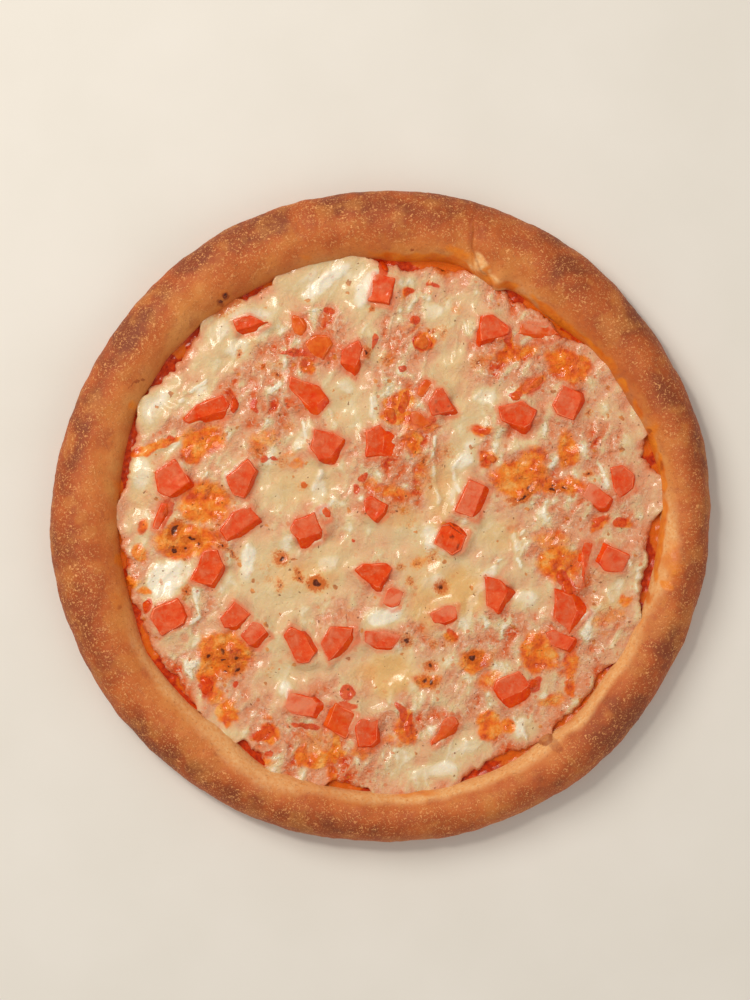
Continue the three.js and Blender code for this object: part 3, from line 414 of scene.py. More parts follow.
def noise(points, size, seed):
    """Smooth noise of about -1 to 1, in lumps of about the given size."""
    at = points / size + seed * SEED_STEP
    cell = np.floor(at).astype(np.int64)
    part = at - cell
    fade = part ** 3 * (part * (part * 6 - 15) + 10)
    total = np.zeros(len(points))
    for corner in product((0, 1), repeat=3):
        key = ((cell + corner).astype(np.uint64) * HASH_STEPS).sum(axis=1, dtype=np.uint64)
        key = (key ^ (key >> HASH_SHIFT)) * HASH_MIX
        slope = ((key[:, None] >> SLOPE_BITS) & np.uint64(SLOPE_TOP)) / (SLOPE_TOP / 2) - 1
        weight = np.where(corner, fade, 1 - fade).prod(axis=1)
        total += weight * ((part - corner) * slope).sum(axis=1)
    return total * NOISE_GAIN


def rough(points, size, seed, layers=3, fall=0.55):
    """Noise in several sizes, each half the one before."""
    return sum(fall ** i * noise(points, size / 2 ** i, seed + i) for i in range(layers))


def rise(value, low, high):
    """0 below low, 1 above high, and smooth between."""
    share = np.clip((value - low) / (high - low), 0, 1)
    return share * share * (3 - 2 * share)


def bell(away, spread):
    return np.exp(-((away / spread) ** 2))


def degrees_from(angle, centre):
    return (angle - centre + 180) % 360 - 180


def swell(rows, angle):
    return sum(size * bell(degrees_from(angle, at), spread) for at, spread, size in rows)


def heading(turn):
    """The east and north parts of a direction given in degrees."""
    return math.cos(math.radians(turn)), math.sin(math.radians(turn))


def along_and_across(points, turn, x=0, y=0):
    """How far each point lies from x, y in a direction, and to the left of it."""
    east, north = heading(turn)
    right = points[:, 0] - x
    up = points[:, 1] - y
    return right * east + up * north, up * east - right * north


def away_from(points, x, y):
    return np.hypot(points[:, 0] - x, points[:, 1] - y)


def away_from_line(points, start, end):
    """How far each point lies from a straight line between two places."""
    edge = end - start
    offset = points[:, :2] - start
    share = np.clip(offset @ edge / max(edge @ edge, 1e-6), 0, 1)
    return np.hypot(*(offset - share[:, None] * edge).T)


def polar(points):
    """Angle in degrees and radius of each point."""
    angle = np.degrees(np.arctan2(points[:, 1], points[:, 0]))
    return angle, np.hypot(points[:, 0], points[:, 1])


def from_polar(angle, radius, height):
    turn = np.radians(angle)
    return np.column_stack([radius * np.cos(turn), radius * np.sin(turn), height])


def patches(points, rows, edge=0.3, grow=1.0):
    """How strongly each point lies inside the rows' ovals, from 0 to the highest strength there.

    `edge` is how soft an oval's edge is, as a share of its size, and `grow` enlarges the ovals.
    """
    cover = np.zeros(len(points))
    for x, y, long, wide, turn, strength in rows:
        along, across = along_and_across(points, turn, x, y)
        out = np.hypot(along / (long * grow), across / (wide * grow))
        cover = np.maximum(cover, strength * rise(out, 1 + edge, 1 - edge))
    return cover


def full_strength(rows):
    """The ovals that the rows start with, all of strength 1."""
    return [(*row[:5], 1) for row in rows]


def warped(points, size, by, seed):
    """The points, each pushed sideways by noise, so that what is drawn on them has ragged edges."""
    out = points.copy()
    out[:, 0] += by * noise(points, size, seed)
    out[:, 1] += by * noise(points, size, seed + 1)
    return out


# ---- meshes ----
def numbers_of(items, name, width):
    """One property of all the items, a row of `width` numbers for each."""
    flat = np.empty(width * len(items))
    items.foreach_get(name, flat)
    return flat.reshape(-1, width)


def points_of(mesh):
    """The mesh's points in millimetres from the middle of the pizza."""
    return numbers_of(mesh.vertices, "co", 3) / MM - MIDDLE


def move_points(mesh, points):
    mesh.vertices.foreach_set("co", ((points + MIDDLE) * MM).ravel())
    mesh.update()


def swollen(mesh, points, relief):
    """The points of the mesh, each moved straight out by its relief."""
    return points + numbers_of(mesh.vertices, "normal", 3) * relief[:, None]


def paint(mesh, name, values):
    layer = mesh.attributes.new(name, "FLOAT", "POINT")
    layer.data.foreach_set("value", np.clip(values, 0, 1).astype(np.float32))


def painted_values(mesh, name):
    return numbers_of(mesh.attributes[name].data, "value", 1)[:, 0]


def mesh_from(bm, name, material):
    mesh = bpy.data.meshes.new(name)
    bm.to_mesh(mesh)
    bm.free()
    mesh.materials.append(material)
    return mesh


def placed(name, data):
    """Puts a mesh, a light or a camera into the scene as an object."""
    thing = bpy.data.objects.new(name, data)
    bpy.context.scene.collection.objects.link(thing)
    return thing


def finished(bm, name, replaced, material):
    """Makes the object of a piece, in place of the CAD nodes named in `replaced`."""
    mesh = mesh_from(bm, name, material)
    mesh.shade_smooth()
    piece = placed(name, mesh)
    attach(piece, "root")
    if replaced:
        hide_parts(*replaced)
    return piece


def turned(bm, section, steps, sectors=8):
    """Turns a section of (radius, height) pairs about Z, one sector at a time."""
    chain = [bm.verts.new((radius * MM, 0, height * MM)) for radius, height in section]
    edges = [bm.edges.new(pair) for pair in zip(chain, chain[1:])]
    sweep = 2 * math.pi / sectors
    bmesh.ops.spin(bm, geom=chain + edges, cent=(0, 0, 0), axis=(0, 0, 1), dvec=(0, 0, 0),
                   angle=sweep, steps=steps // sectors)
    first = list(bm.verts) + list(bm.edges) + list(bm.faces)
    for i in range(1, sectors):
        copied = bmesh.ops.duplicate(bm, geom=first)["geom"]
        verts = [item for item in copied if isinstance(item, bmesh.types.BMVert)]
        bmesh.ops.rotate(bm, verts=verts, cent=(0, 0, 0), matrix=Matrix.Rotation(i * sweep, 3, "Z"))
    bmesh.ops.remove_doubles(bm, verts=bm.verts, dist=WELD)
    bmesh.ops.translate(bm, verts=bm.verts, vec=Vector(MIDDLE * MM))
    bmesh.ops.recalc_face_normals(bm, faces=bm.faces)


# ---- materials ----
def srgb(red, green, blue):
    """A colour given as 0 to 255 on a screen, in the linear light that the shader mixes."""
    def linear(value):
        value /= 255
        return value / 12.92 if value <= 0.04045 else ((value + 0.055) / 1.055) ** 2.4
    return (linear(red), linear(green), linear(blue), 1)


class Finish:
    """A material whose colour and bump are built up in layers on Object coordinates."""

    def __init__(self, name, **shader):
        self.material = bpy.data.materials.new(name)
        self.material.use_nodes = True
        self.tree = self.material.node_tree
        self.shader = self.tree.nodes["Principled BSDF"]
        for socket, value in shader.items():
            self.shader.inputs[socket.replace("_", " ")].default_value = value
        self.where = self.node("TexCoord").outputs["Object"]
        self.bumps = None

    def node(self, kind, settings=None, **inputs):
        made = self.tree.nodes.new("ShaderNode" + kind)
        for name, value in (settings or {}).items():
            setattr(made, name, value)
        for name, value in inputs.items():
            self.put(made.inputs[name.replace("_", " ")], value)
        return made

    def put(self, socket, value):
        if isinstance(value, bpy.types.NodeSocket):
            self.tree.links.new(value, socket)
        else:
            socket.default_value = value

    def grain(self, size, detail=2.0, roughness=0.5, distortion=0.0):
        """Cloudy noise from 0 to 1 with lumps of `size` millimetres."""
        return self.node("TexNoise", Vector=self.where, Scale=1 / (size * MM), Detail=detail,
                         Roughness=roughness, Distortion=distortion).outputs["Fac"]

    def shaken(self, size):
        """The place, pushed about by noise so that no spot comes out round."""
        cloud = self.node("TexNoise", Vector=self.where, Scale=1 / (0.5 * size * MM), Detail=2.0)
        push = self.node("VectorMath", {"operation": "MULTIPLY_ADD"})
        self.put(push.inputs[0], cloud.outputs["Color"])
        push.inputs[1].default_value = (0.6 * size * MM,) * 3
        self.put(push.inputs[2], self.where)
        return push.outputs[0]

    def sown_spots(self, size, share, radius):
        """Spots in a share of the cells of `size` millimetres, of uneven width."""
        cell = self.node("TexVoronoi", {"voronoi_dimensions": "2D"}, Vector=self.shaken(size),
                         Scale=1 / (size * MM))
        lot = self.node("SeparateColor", Color=cell.outputs["Color"]).outputs[0]
        wide = self.step(lot, 1 - share, 1, 0, radius)
        return self.step(self.math("SUBTRACT", wide, cell.outputs["Distance"]), -0.02, 0.03)

    def painted(self, name):
        return self.node("Attribute", {"attribute_name": name}).outputs["Fac"]

    def math(self, operation, first, second):
        made = self.node("Math", {"operation": operation})
        self.put(made.inputs[0], first)
        self.put(made.inputs[1], second)
        return made.outputs[0]

    def times(self, first, second):
        return self.math("MULTIPLY", first, second)

    def step(self, value, low, high, to_low=0.0, to_high=1.0):
        """Goes smoothly from one number to another as `value` goes from low to high."""
        return self.node("MapRange", {"interpolation_type": "SMOOTHSTEP"}, Value=value,
                         From_Min=low, From_Max=high, To_Min=to_low, To_Max=to_high).outputs[0]

    def mask(self, name, grain, low, high, push=0.5):
        """A painted share with its edge broken up by grain."""
        ragged = self.math("MULTIPLY_ADD", grain, push)
        self.put(ragged.node.inputs[2], self.painted(name))
        return self.step(ragged, low + push / 2, high + push / 2)

    def summed(self, first, weight, second, other_weight):
        return self.math("ADD", self.times(first, weight), self.times(second, other_weight))

    def blend(self, share, under, over):
        made = self.node("Mix", {"data_type": "RGBA"})
        self.put(made.inputs[0], share)
        self.put(made.inputs[6], under)
        self.put(made.inputs[7], over)
        return made.outputs[2]

    def glaze(self, under, share, strength, over):
        """Lays a colour over another where `share` says, as thickly as `strength` allows."""
        return self.blend(self.times(share, strength), under, over)

    def ramp(self, share, *stops):
        """A colour that runs through the stops, each a place and its red, green and blue."""
        made = self.node("ValToRGB", Fac=share)
        elements = made.color_ramp.elements
        while len(elements) < len(stops):
            elements.new(0.5)
        for element, (place, *shade) in zip(elements, stops):
            element.position = place
            element.color = srgb(*shade)
        return made.outputs["Color"]

    def bump(self, height, depth):
        """Adds relief of `depth` millimetres, finest last."""
        made = self.node("Bump", Height=height, Distance=depth * MM, Strength=1.0)
        if self.bumps:
            self.put(made.inputs["Normal"], self.bumps)
        self.bumps = made.outputs["Normal"]

    def done(self, colour, roughness):
        self.put(self.shader.inputs["Base Color"], colour)
        self.put(self.shader.inputs["Roughness"], roughness)
        self.put(self.shader.inputs["Normal"], self.bumps)
        return self.material


# What sauce and tomato have in common.
JUICY = {"Specular_IOR_Level": 0.15, "Specular_Tint": (1, 0.6, 0.35, 1), "Subsurface_Scale": 0.002}


def crust_finish():
    look = Finish("baked dough", Specular_IOR_Level=0.3)
    mottle = look.grain(7, 4, 0.6)
    fine = look.grain(1.6, 3, 0.6)
    # How dark the dough is painted: browning, and painted shade on the rim's outside and at the seam.
    bake = look.math("MULTIPLY_ADD", mottle, 0.32)
    look.put(bake.node.inputs[2], look.painted("bake"))
    colour = look.ramp(
        bake,
        (0.15, 218, 146, 78), (0.38, 206, 119, 56), (0.58, 194, 100, 44),
        (0.78, 174, 82, 34), (1.0, 136, 64, 32),
    )
    ochre = look.step(look.grain(13, 3, 0.55), 0.5, 0.64)
    colour = look.glaze(colour, ochre, 0.42, srgb(206, 132, 62))
    bruise = look.step(look.grain(10, 4, 0.6, 0.5), 0.54, 0.68)
    colour = look.glaze(colour, bruise, 0.36, srgb(166, 80, 48))
    # Pale dough, with painted light at the inner slope's foot on the sides that face the lamps.
    pale_and_lit = look.mask("pale_and_lit", mottle, 0.1, 0.9, 0.3)
    colour = look.glaze(colour, pale_and_lit, 0.9,
                        look.ramp(fine, (0.3, 230, 158, 88), (0.7, 242, 196, 138)))
    # Pale specks: flour, and painted glints on the skin's fine bumps.
    flour_and_glints = look.step(look.grain(1.25, 1, 0.4, 1.3), 0.62, 0.68)
    specks = look.times(look.step(look.grain(0.85, 1, 0.4, 0.8), 0.60, 0.67), 0.75)
    crumb_and_glint = look.mask("crumb_and_glint", mottle, 0.1, 0.8, 0.8)
    flecks_and_glints = look.times(look.math("MAXIMUM", flour_and_glints, specks), crumb_and_glint)
    colour = look.glaze(colour, flecks_and_glints, 0.8, srgb(240, 168, 104))
    pores = look.step(look.grain(1.1, 2), 0.42, 0.28)
    colour = look.glaze(colour, pores, 0.35, srgb(142, 70, 36))
    # Painted shade in the seam's crease.
    colour = look.glaze(colour, look.painted("crease"), 0.5, srgb(134, 62, 26))
    stain = look.mask("stain", fine, 0.15, 0.85, 0.4)
    colour = look.glaze(colour, stain, 0.85,
                        look.ramp(mottle, (0.3, 210, 90, 4), (0.7, 240, 142, 30)))
    scab = look.mask("scab", fine, 0.3, 0.8, 0.4)
    colour = look.glaze(colour, scab, 0.7, srgb(146, 54, 10))
    look.bump(mottle, 0.15)
    look.bump(fine, 0.3)
    look.bump(flecks_and_glints, 0.12)
    return look.done(colour, look.step(stain, 0, 1, 0.6, 0.3))


def sauce_finish():
    look = Finish("tomato sauce", Coat_Weight=0.3, Coat_Roughness=0.18, Subsurface_Weight=0.15,
                  Subsurface_Radius=(1.0, 0.2, 0.05), **JUICY)
    pulp = look.grain(2.4, 4, 0.6)
    fat = look.mask("fat", pulp, 0.35, 0.75, 1.0)
    colour = look.ramp(pulp, (0.3, 152, 24, 0), (0.7, 218, 68, 0))
    colour = look.glaze(colour, fat, 0.9, srgb(214, 100, 14))
    look.bump(pulp, 0.5)
    look.bump(look.grain(0.8, 2), 0.15)
    return look.done(colour, 0.3)


def cheese_finish():
    look = Finish("melted cheese", Coat_Weight=0.52, Coat_Roughness=0.13, Coat_IOR=1.4,
                  Specular_IOR_Level=0.2, Specular_Tint=(1, 0.85, 0.65, 1),
                  Subsurface_Weight=0.2, Subsurface_Scale=0.0015, Subsurface_Radius=(1.0, 0.6, 0.3))
    lumps = look.grain(4.2, 5, 0.6, 0.8)
    clots = look.grain(2.3, 3, 0.58, 0.5)
    fine = look.grain(0.9, 3, 0.6)
    thin = look.painted("thin")
    uneven = look.summed(lumps, 0.6, clots, 0.4)
    swing = look.times(look.math("SUBTRACT", uneven, 0.5), look.step(thin, 0, 1, 0.12, 0.95))
    body = look.math("ADD", look.painted("body"), swing)
    colour = look.ramp(
        body,
        (0.02, 204, 54, 4), (0.15, 220, 98, 44), (0.29, 219, 133, 90),
        (0.46, 221, 156, 119), (0.64, 222, 178, 136), (0.80, 221, 195, 149),
        (0.98, 240, 230, 208),
    )
    # Small pale curds in the thin cheese, partly painted glints.
    curds_and_glints = look.step(look.grain(1.9, 3, 0.55, 0.8), 0.54, 0.66)
    curds_and_glints = look.times(curds_and_glints, look.step(thin, 0.2, 0.8, 0.1, 0.5))
    colour = look.blend(curds_and_glints, colour, srgb(240, 214, 188))
    amber = look.mask("amber", lumps, 0.1, 1.0, 0.4)
    colour = look.glaze(colour, amber, 0.6, srgb(228, 170, 90))
    spots = look.times(look.sown_spots(3.4, 0.22, 0.28), look.step(thin, 0.1, 0.7, 0.2, 0.6))
    colour = look.blend(spots, colour, srgb(216, 96, 30))
    oil = look.mask("oil", uneven, 0.15, 0.7, 1.1)
    browned = look.ramp(look.summed(look.grain(5.5, 3), 0.8, clots, 0.3),
                        (0.38, 200, 62, 0), (0.50, 232, 102, 2),
                        (0.60, 240, 132, 24), (0.74, 244, 176, 92))
    colour = look.glaze(colour, oil, 0.95, browned)
    red = look.mask("red", fine, 0.25, 0.75, 0.5)
    colour = look.glaze(colour, red, 0.9,
                        look.ramp(clots, (0.35, 206, 44, 0), (0.65, 226, 86, 22)))
    halo = look.mask("halo", fine, 0.1, 0.85, 1.2)
    colour = look.glaze(colour, halo, 0.9,
                        look.ramp(halo, (0.3, 232, 142, 42), (0.85, 206, 94, 6)))
    juice = look.mask("juice", fine, 0.0, 0.75, 0.4)
    colour = look.glaze(colour, juice, 0.7, srgb(224, 108, 66))
    colour = look.blend(look.mask("char", fine, 0.35, 0.8, 0.5), colour, srgb(92, 30, 6))
    freckles = look.sown_spots(6.2, 0.2, 0.18)
    colour = look.glaze(colour, freckles, 0.75,
                        look.ramp(lumps, (0.4, 166, 78, 16), (0.55, 222, 128, 40)))
    herbs = look.math("MAXIMUM", look.sown_spots(4.4, 0.2, 0.10), look.sown_spots(2.9, 0.1, 0.10))
    colour = look.glaze(colour, herbs, 0.75, srgb(124, 58, 14))
    look.bump(lumps, 0.8)
    wrinkles = look.math("ABSOLUTE", look.math("SUBTRACT", look.grain(3.0, 2, 0.5, 0.8), 0.5), 0)
    look.bump(look.times(wrinkles, look.step(thin, 0.1, 0.8, -0.1, -1.0)), 1.15)
    look.bump(look.times(clots, look.step(thin, 0, 1, 0.3, 1.0)), 1.15)
    look.bump(fine, 0.06)
    return look.done(colour, look.step(look.painted("body"), 0.4, 0.9, 0.38, 0.26))


def tomato_finish():
    look = Finish("diced tomato", Coat_Weight=0.35, Coat_Roughness=0.14, Subsurface_Weight=0.15,
                  Subsurface_Radius=(1.0, 0.25, 0.08), **JUICY)
    flesh = look.grain(4.0, 4, 0.6, 0.4)
    fibre = look.grain(1.1, 3, 0.6)
    # Flesh colour, brightened as painted glow so the slanted sides that face away from the lamps shine
    # as if lit through.
    colour = look.ramp(flesh, (0.3, 224, 52, 0), (0.7, 244, 86, 0))
    # Painted reflection: the top is paler, as if it mirrored the sky, most on the side away from the
    # slant.
    top = look.times(look.painted("top"), look.step(flesh, 0.25, 0.6, 0.55, 1.0))
    colour = look.glaze(colour, top, 0.85,
                        look.ramp(flesh, (0.30, 212, 52, 4), (0.44, 212, 74, 28),
                                  (0.56, 208, 94, 58), (0.72, 224, 122, 88)))
    colour = look.glaze(colour, look.step(fibre, 0.56, 0.72), 0.4, srgb(236, 138, 92))
    colour = look.glaze(colour, look.step(fibre, 0.42, 0.3), 0.35, srgb(200, 40, 0))
    colour = look.blend(look.painted("orange"), colour,
                        look.ramp(flesh, (0.3, 210, 72, 6), (0.7, 228, 112, 36)))
    film = look.mask("film", fibre, 0.25, 0.8, 0.5)
    colour = look.glaze(colour, film, 0.75, srgb(226, 142, 106))
    # Dark marks on the flesh, and painted shade along the top's brink on the slanted side.
    colour = look.blend(look.painted("dark"), colour, srgb(66, 12, 4))
    # Painted sheen: a pale sky reflection over the top.
    haze = look.times(look.painted("haze"), look.step(flesh, 0.3, 0.6, 0.3, 0.7))
    colour = look.blend(haze, colour, srgb(232, 128, 92))
    # Painted highlight along the top's brink.
    edge_highlight = look.mask("edge_highlight", fibre, 0.3, 0.9, 0.4)
    colour = look.glaze(colour, edge_highlight, 0.7, srgb(250, 146, 104))
    look.bump(flesh, 0.5)
    look.bump(fibre, 0.16)
    return look.done(colour, 0.32)


def bits_finish():
    look = Finish("soft tomato", Coat_Weight=0.35, Coat_Roughness=0.15, Subsurface_Weight=0.2,
                  Subsurface_Radius=(1.0, 0.25, 0.08), **JUICY)
    pulp = look.grain(1.4, 3, 0.6)
    red = look.ramp(pulp, (0.3, 198, 44, 0), (0.7, 230, 84, 16))
    orange = look.ramp(pulp, (0.3, 212, 92, 26), (0.7, 228, 128, 54))
    look.bump(pulp, 0.4)
    return look.done(look.blend(look.painted("orange"), red, orange), 0.3)


def char_finish():
    look = Finish("burnt cheese", Specular_IOR_Level=0.4)
    crumbs = look.grain(0.7, 3, 0.6)
    look.bump(crumbs, 0.3)
    return look.done(look.ramp(crumbs, (0.35, 58, 20, 10), (0.62, 132, 52, 24)), 0.5)


# ---- the crust ----
CRUST_STEPS = 1040
SOLE_RINGS = [0, 14, 28, 42, 55, 67, 79, 90, 101, 111, 120, 129, 136]
SOLE_ARC_STEPS = 16
RIM_ARC_STEPS = 28
WALL_FOOT_HEIGHT = 7.5
FLOOR_RING = 80
SOLE_LEVEL = 0.01
SOLE_HOLLOW = 0.3
FLOOR_MARGIN = 1
# Between which heights or radii the outside of the rim, and the foot of its inner slope, begin.
OUTSIDE_LOW = RIM_BELLY_HEIGHT - 7
OUTSIDE_HIGH = RIM_BELLY_HEIGHT + 4
OUTSIDE_RADII = (131, 142)
FOOT_RADII = (WELL_RADIUS + 9.5, WELL_RADIUS + 3)
# The seam's crease: depth, width and offset in degrees, the heights between which it begins, and
# how much weaker it is outside the crest.
CREASE_DEPTH = 0.55
CREASE_WIDTH = 0.36
CREASE_OFFSET = 0.2
CREASE_LOW = RIM_BELLY_HEIGHT - 6
CREASE_HIGH = RIM_BELLY_HEIGHT + 3
CREASE_FADE = 0.65
# Swells round the flaps and the blister: height, spread.
FLAP_SWELL = (2.6, 3.4)
BLISTER_SWELL = (2.2, 7.5)
BLISTER_HEIGHT = 0.75
BLISTER_SHOULDER = 1.4
BLISTER_GROOVE = 0.45
BLISTER_SCORCH = 0.62
PALE_WIDTH = 6.5


def arc_points(middle, height, wide, high, start, end, steps):
    """Points along an oval, from one angle to another."""
    out = []
    for i in range(steps + 1):
        turn = math.radians(start + (end - start) * i / steps)
        out.append((middle + wide * math.cos(turn), height + high * math.sin(turn)))
    return out


def dough_section():
    """Radius and height along the sole, round the rim, down the inner wall and over the floor."""
    belly = RIM_BELLY_HEIGHT
    high = RIM_HEIGHT - belly
    inset = CREST_RADIUS - WELL_RADIUS
    section = [(radius, 0) for radius in SOLE_RINGS]
    section += arc_points(RIM_RADIUS - SOLE_INSET, belly, SOLE_INSET, belly, -90, 0, SOLE_ARC_STEPS)
    section += arc_points(CREST_RADIUS, belly, RIM_CREST_INSET, high, 0, 90, RIM_ARC_STEPS)[1:]
    section += arc_points(CREST_RADIUS, belly, inset, high, 90, 180, RIM_ARC_STEPS)[1:]
    section.append((WELL_RADIUS, WALL_FOOT_HEIGHT))
    return section + [(radius, FLOOR_HEIGHT) for radius in (WELL_RADIUS, FLOOR_RING, 0)]


def rim_radius(angle):
    return RIM_RADIUS + sum(
        size * np.cos(np.radians(count * (angle - peak))) for count, size, peak in RIM_WAVES
    )


def well_radius(angle):
    turn = np.radians(angle)
    shifted = WELL_SHIFT[0] * np.cos(turn) + WELL_SHIFT[1] * np.sin(turn)
    return WELL_RADIUS + shifted + swell(WELL_SWELLS, angle)


def seam_away(angle, radius):
    """Degrees past the seam: minus where the rope's end lies over its start."""
    return degrees_from(angle, np.interp(radius, SEAM_RADII, SEAM_ANGLES))


def crest_lift(angle, radius):
    away = seam_away(angle, radius)
    up = SEAM_STEP_UP[0] * bell(away, SEAM_STEP_UP[1])
    down = -SEAM_STEP_DOWN[0] * bell(away, SEAM_STEP_DOWN[1])
    past = rise(away, -0.25, 0.25)
    return swell(CREST_SWELLS, angle) + up + (down - up) * past


def crust_points(plain):
    """The plain turned dough, given its waves, its shifted well and its seam."""
    start, radius = polar(plain)
    share, spread, middle = SEAM_CROWD
    away = degrees_from(start, middle)
    angle = start - share * away * bell(away, spread)
    well = well_radius(angle)
    out = (radius - WELL_RADIUS) / (RIM_RADIUS - WELL_RADIUS)
    reach = np.where(out > 0, well + out * (rim_radius(angle) - well), radius * well / WELL_RADIUS)
    raised = np.maximum(0, plain[:, 2] - RIM_BELLY_HEIGHT) / (RIM_HEIGHT - RIM_BELLY_HEIGHT)
    return from_polar(angle, reach, plain[:, 2] + raised * crest_lift(angle, radius))


def crust_relief(points, foot):
    """How far the baked skin stands out from the plain dough."""
    skin = 0.7 * rough(points, 17, 3, 2) + 0.2 * rough(points, 6, 11, 2)
    skin += 0.13 * rough(points, 2.4, 21, 2)
    skin *= 1 - 0.45 * foot
    x, y, radius = BLISTER
    away = away_from(points, x, y)
    skin += BLISTER_SWELL[0] * bell(away, BLISTER_SWELL[1]) * foot
    edge = away + 0.25 * noise(points, 3, 5)
    skin += BLISTER_HEIGHT * rise(edge, radius, radius - BLISTER_SHOULDER)
    skin -= BLISTER_GROOVE * bell(away - radius - 0.5, 0.5)
    for flap in FLAPS[:2]:
        skin += FLAP_SWELL[0] * bell(away_from(points, *flap[:2]), FLAP_SWELL[1]) * foot
    for x, y, radius, size in SCAB_LUMPS:
        skin += size * bell(away_from(points, x, y), radius)
    return skin


class Dough:
    """Where each point of the crust lies, and how the dough looks there.

    `level` and `ring` are its height and radius in the plain turned dough, `angle` and `seam` its
    angle and its degrees past the seam in the finished one.
    """

    def __init__(self, plain, points):
        self.points = points
        self.level = plain[:, 2]
        self.ring = polar(plain)[1]
        self.angle, radius = polar(points)
        self.seam = seam_away(self.angle, radius)
        self.seam_fade = rise(self.ring, *SEAM_FADE)
        self.under = self.level <= SOLE_LEVEL
        self.above = self.level > FLOOR_HEIGHT
        self.wall = self.level > FLOOR_HEIGHT + FLOOR_MARGIN
        self.outer = rise(self.level, OUTSIDE_LOW, OUTSIDE_HIGH)
        self.inward = rise(self.ring, CREST_RADIUS - 1, WELL_RADIUS + 1) * self.wall
        self.foot = rise(self.ring, *FOOT_RADII) * self.wall

    def crease(self):
        """How deep in the seam's crease each point lies."""
        line = bell(self.seam - CREASE_OFFSET, CREASE_WIDTH)
        line *= rise(self.level, CREASE_LOW, CREASE_HIGH)
        return line * (1 - CREASE_FADE * self.seam_fade)

    def bake(self):
        """How brown the dough is, with painted shade on the rim's outside and just before the seam;
        the sole is browned in fields of its own.
        """
        points = self.points
        bake = 0.37 + 0.24 * rough(points, 30, 51, 2) + 0.14 * rough(points, 9, 61, 3)
        bake += 0.34 * patches(warped(points, 9, 2.2, 41), BAKED_AND_SHADED, 0.7, 1.3)
        # Darker on the outside of the rim: partly browning, partly painted shade, added most at the
        # upper left and least at the lower right, which the lamps already leave in shade.
        sides = 0.24 + swell(SIDE_SHADE, self.angle)
        bake += sides * rise(self.ring, *OUTSIDE_RADII) * self.outer
        bake += 0.1 * rise(self.level, 12, 3)
        bake -= 0.2 * self.foot * (1 - swell(PALE_FOOT, self.angle))
        # Painted shadow: darker just before the seam, under the rope's end that lies over it; lighter
        # just past it, along that end's rounded edge.
        bake += 0.16 * bell(self.seam + 1.4, 1.2) * (1 - self.seam_fade)
        bake -= (0.06 + 0.2 * self.inward) * bell(self.seam - 1.4, 1.5)
        return np.where(self.under, 0.42 + 0.22 * noise(points, 38, 65), bake)

    def pale_and_lit(self):
        """How pale the dough is: at the wall's foot, with painted light on the sides facing the lamps,
        on the flaps and low on the outside.
        """
        far = PALE_WIDTH + swell(PALE_REACH, self.angle) + 2.4 * noise(self.points, 10, 71)
        reach = rise((self.ring - WELL_RADIUS) / far, 1.4, 0.2)
        pale_and_lit = reach * swell(PALE_FOOT, self.angle) * self.wall
        flap = patches(warped(self.points, 4, 0.8, 73), FLAPS, 0.4, 1.1) * self.above
        pale_and_lit = np.maximum(pale_and_lit, flap)
        return pale_and_lit + rise(self.level, 2.5, 0.5) * (0.3 + 0.25 * noise(self.points, 40, 75))

    def stain(self):
        """Fat and sauce on the dough: a thin line that seeps along the foot, and the big stains."""
        points = self.points
        line = self.ring - WELL_RADIUS - 1.5 - 1.2 * noise(points, 5, 87)
        seep = 1.3 * bell(line, 1.7) * rise(noise(points, 9, 85), -0.6, 0.2) * self.wall
        seep *= 0.25 + 0.65 * rise(np.abs(degrees_from(self.angle, 35)), 62, 48)
        stain = 0.8 * patches(warped(warped(points, 7, 2.2, 81), 2.5, 1.0, 83), STAINS, 0.6, 0.9)
        return np.maximum(stain, seep) * self.above

    def scab(self):
        """Scorched marks, and the blister, which is darkest in a ring."""
        points = self.points
        x, y, radius = BLISTER
        around = away_from(points, x, y) + 0.25 * noise(points, 2, 93)
        scab = patches(warped(points, 2, 0.6, 91), SCABS, 0.4, 1.2)
        scab = np.maximum(scab, patches(points, [BLISTER_TAIL], 0.2))
        scab = np.maximum(scab, BLISTER_SCORCH * rise(around, radius + 0.5, radius - 0.3))
        return np.maximum(scab, 1.2 * bell(around - 0.85 * radius, 0.6)) * self.above

    def crumb_and_glint(self, pale_and_lit):
        """How many pale specks show on the skin: flour, and painted glints on its fine bumps."""
        skin = 0.32 * rise(self.ring, 122, 136) * self.outer
        return 0.32 + skin + 0.22 * noise(self.points, 14, 79) - 0.3 * pale_and_lit


def make_crust():
    bm = bmesh.new()
    turned(bm, dough_section(), CRUST_STEPS)
    piece = finished(bm, "crust_baked", ["crust"], crust_finish())
    mesh = piece.data
    plain = points_of(mesh)
    points = crust_points(plain)
    move_points(mesh, points)
    dough = Dough(plain, points)
    crease = dough.crease()
    sole = -SOLE_HOLLOW * rise(noise(points, 30, 31), -0.2, 0.8)
    relief = np.where(dough.under, sole, crust_relief(points, dough.foot)) - CREASE_DEPTH * crease
    moved = swollen(mesh, points, relief)
    moved[:, 2] = np.maximum(moved[:, 2], 0)
    move_points(mesh, moved)
    pale_and_lit = dough.pale_and_lit()
    paint(mesh, "bake", dough.bake())
    paint(mesh, "pale_and_lit", pale_and_lit)
    paint(mesh, "stain", dough.stain())
    paint(mesh, "crumb_and_glint", dough.crumb_and_glint(pale_and_lit))
    paint(mesh, "scab", dough.scab())
    paint(mesh, "crease", crease)
    return piece


# ---- the sauce ----
SAUCE_STEPS = 720
SAUCE_RINGS = 13
SAUCE_RING_WIDTH = 0.7
SAUCE_FLAT_RINGS = [100, 60, 0]
# How high the sauce is banked up against the rim, and over which radii.
SAUCE_BANK = 2.3
SAUCE_BANK_RADII = (WELL_RADIUS - 11, WELL_RADIUS - 5)
SAUCE_LIP = 0.8
SAUCE_LIP_WIDTH = 2


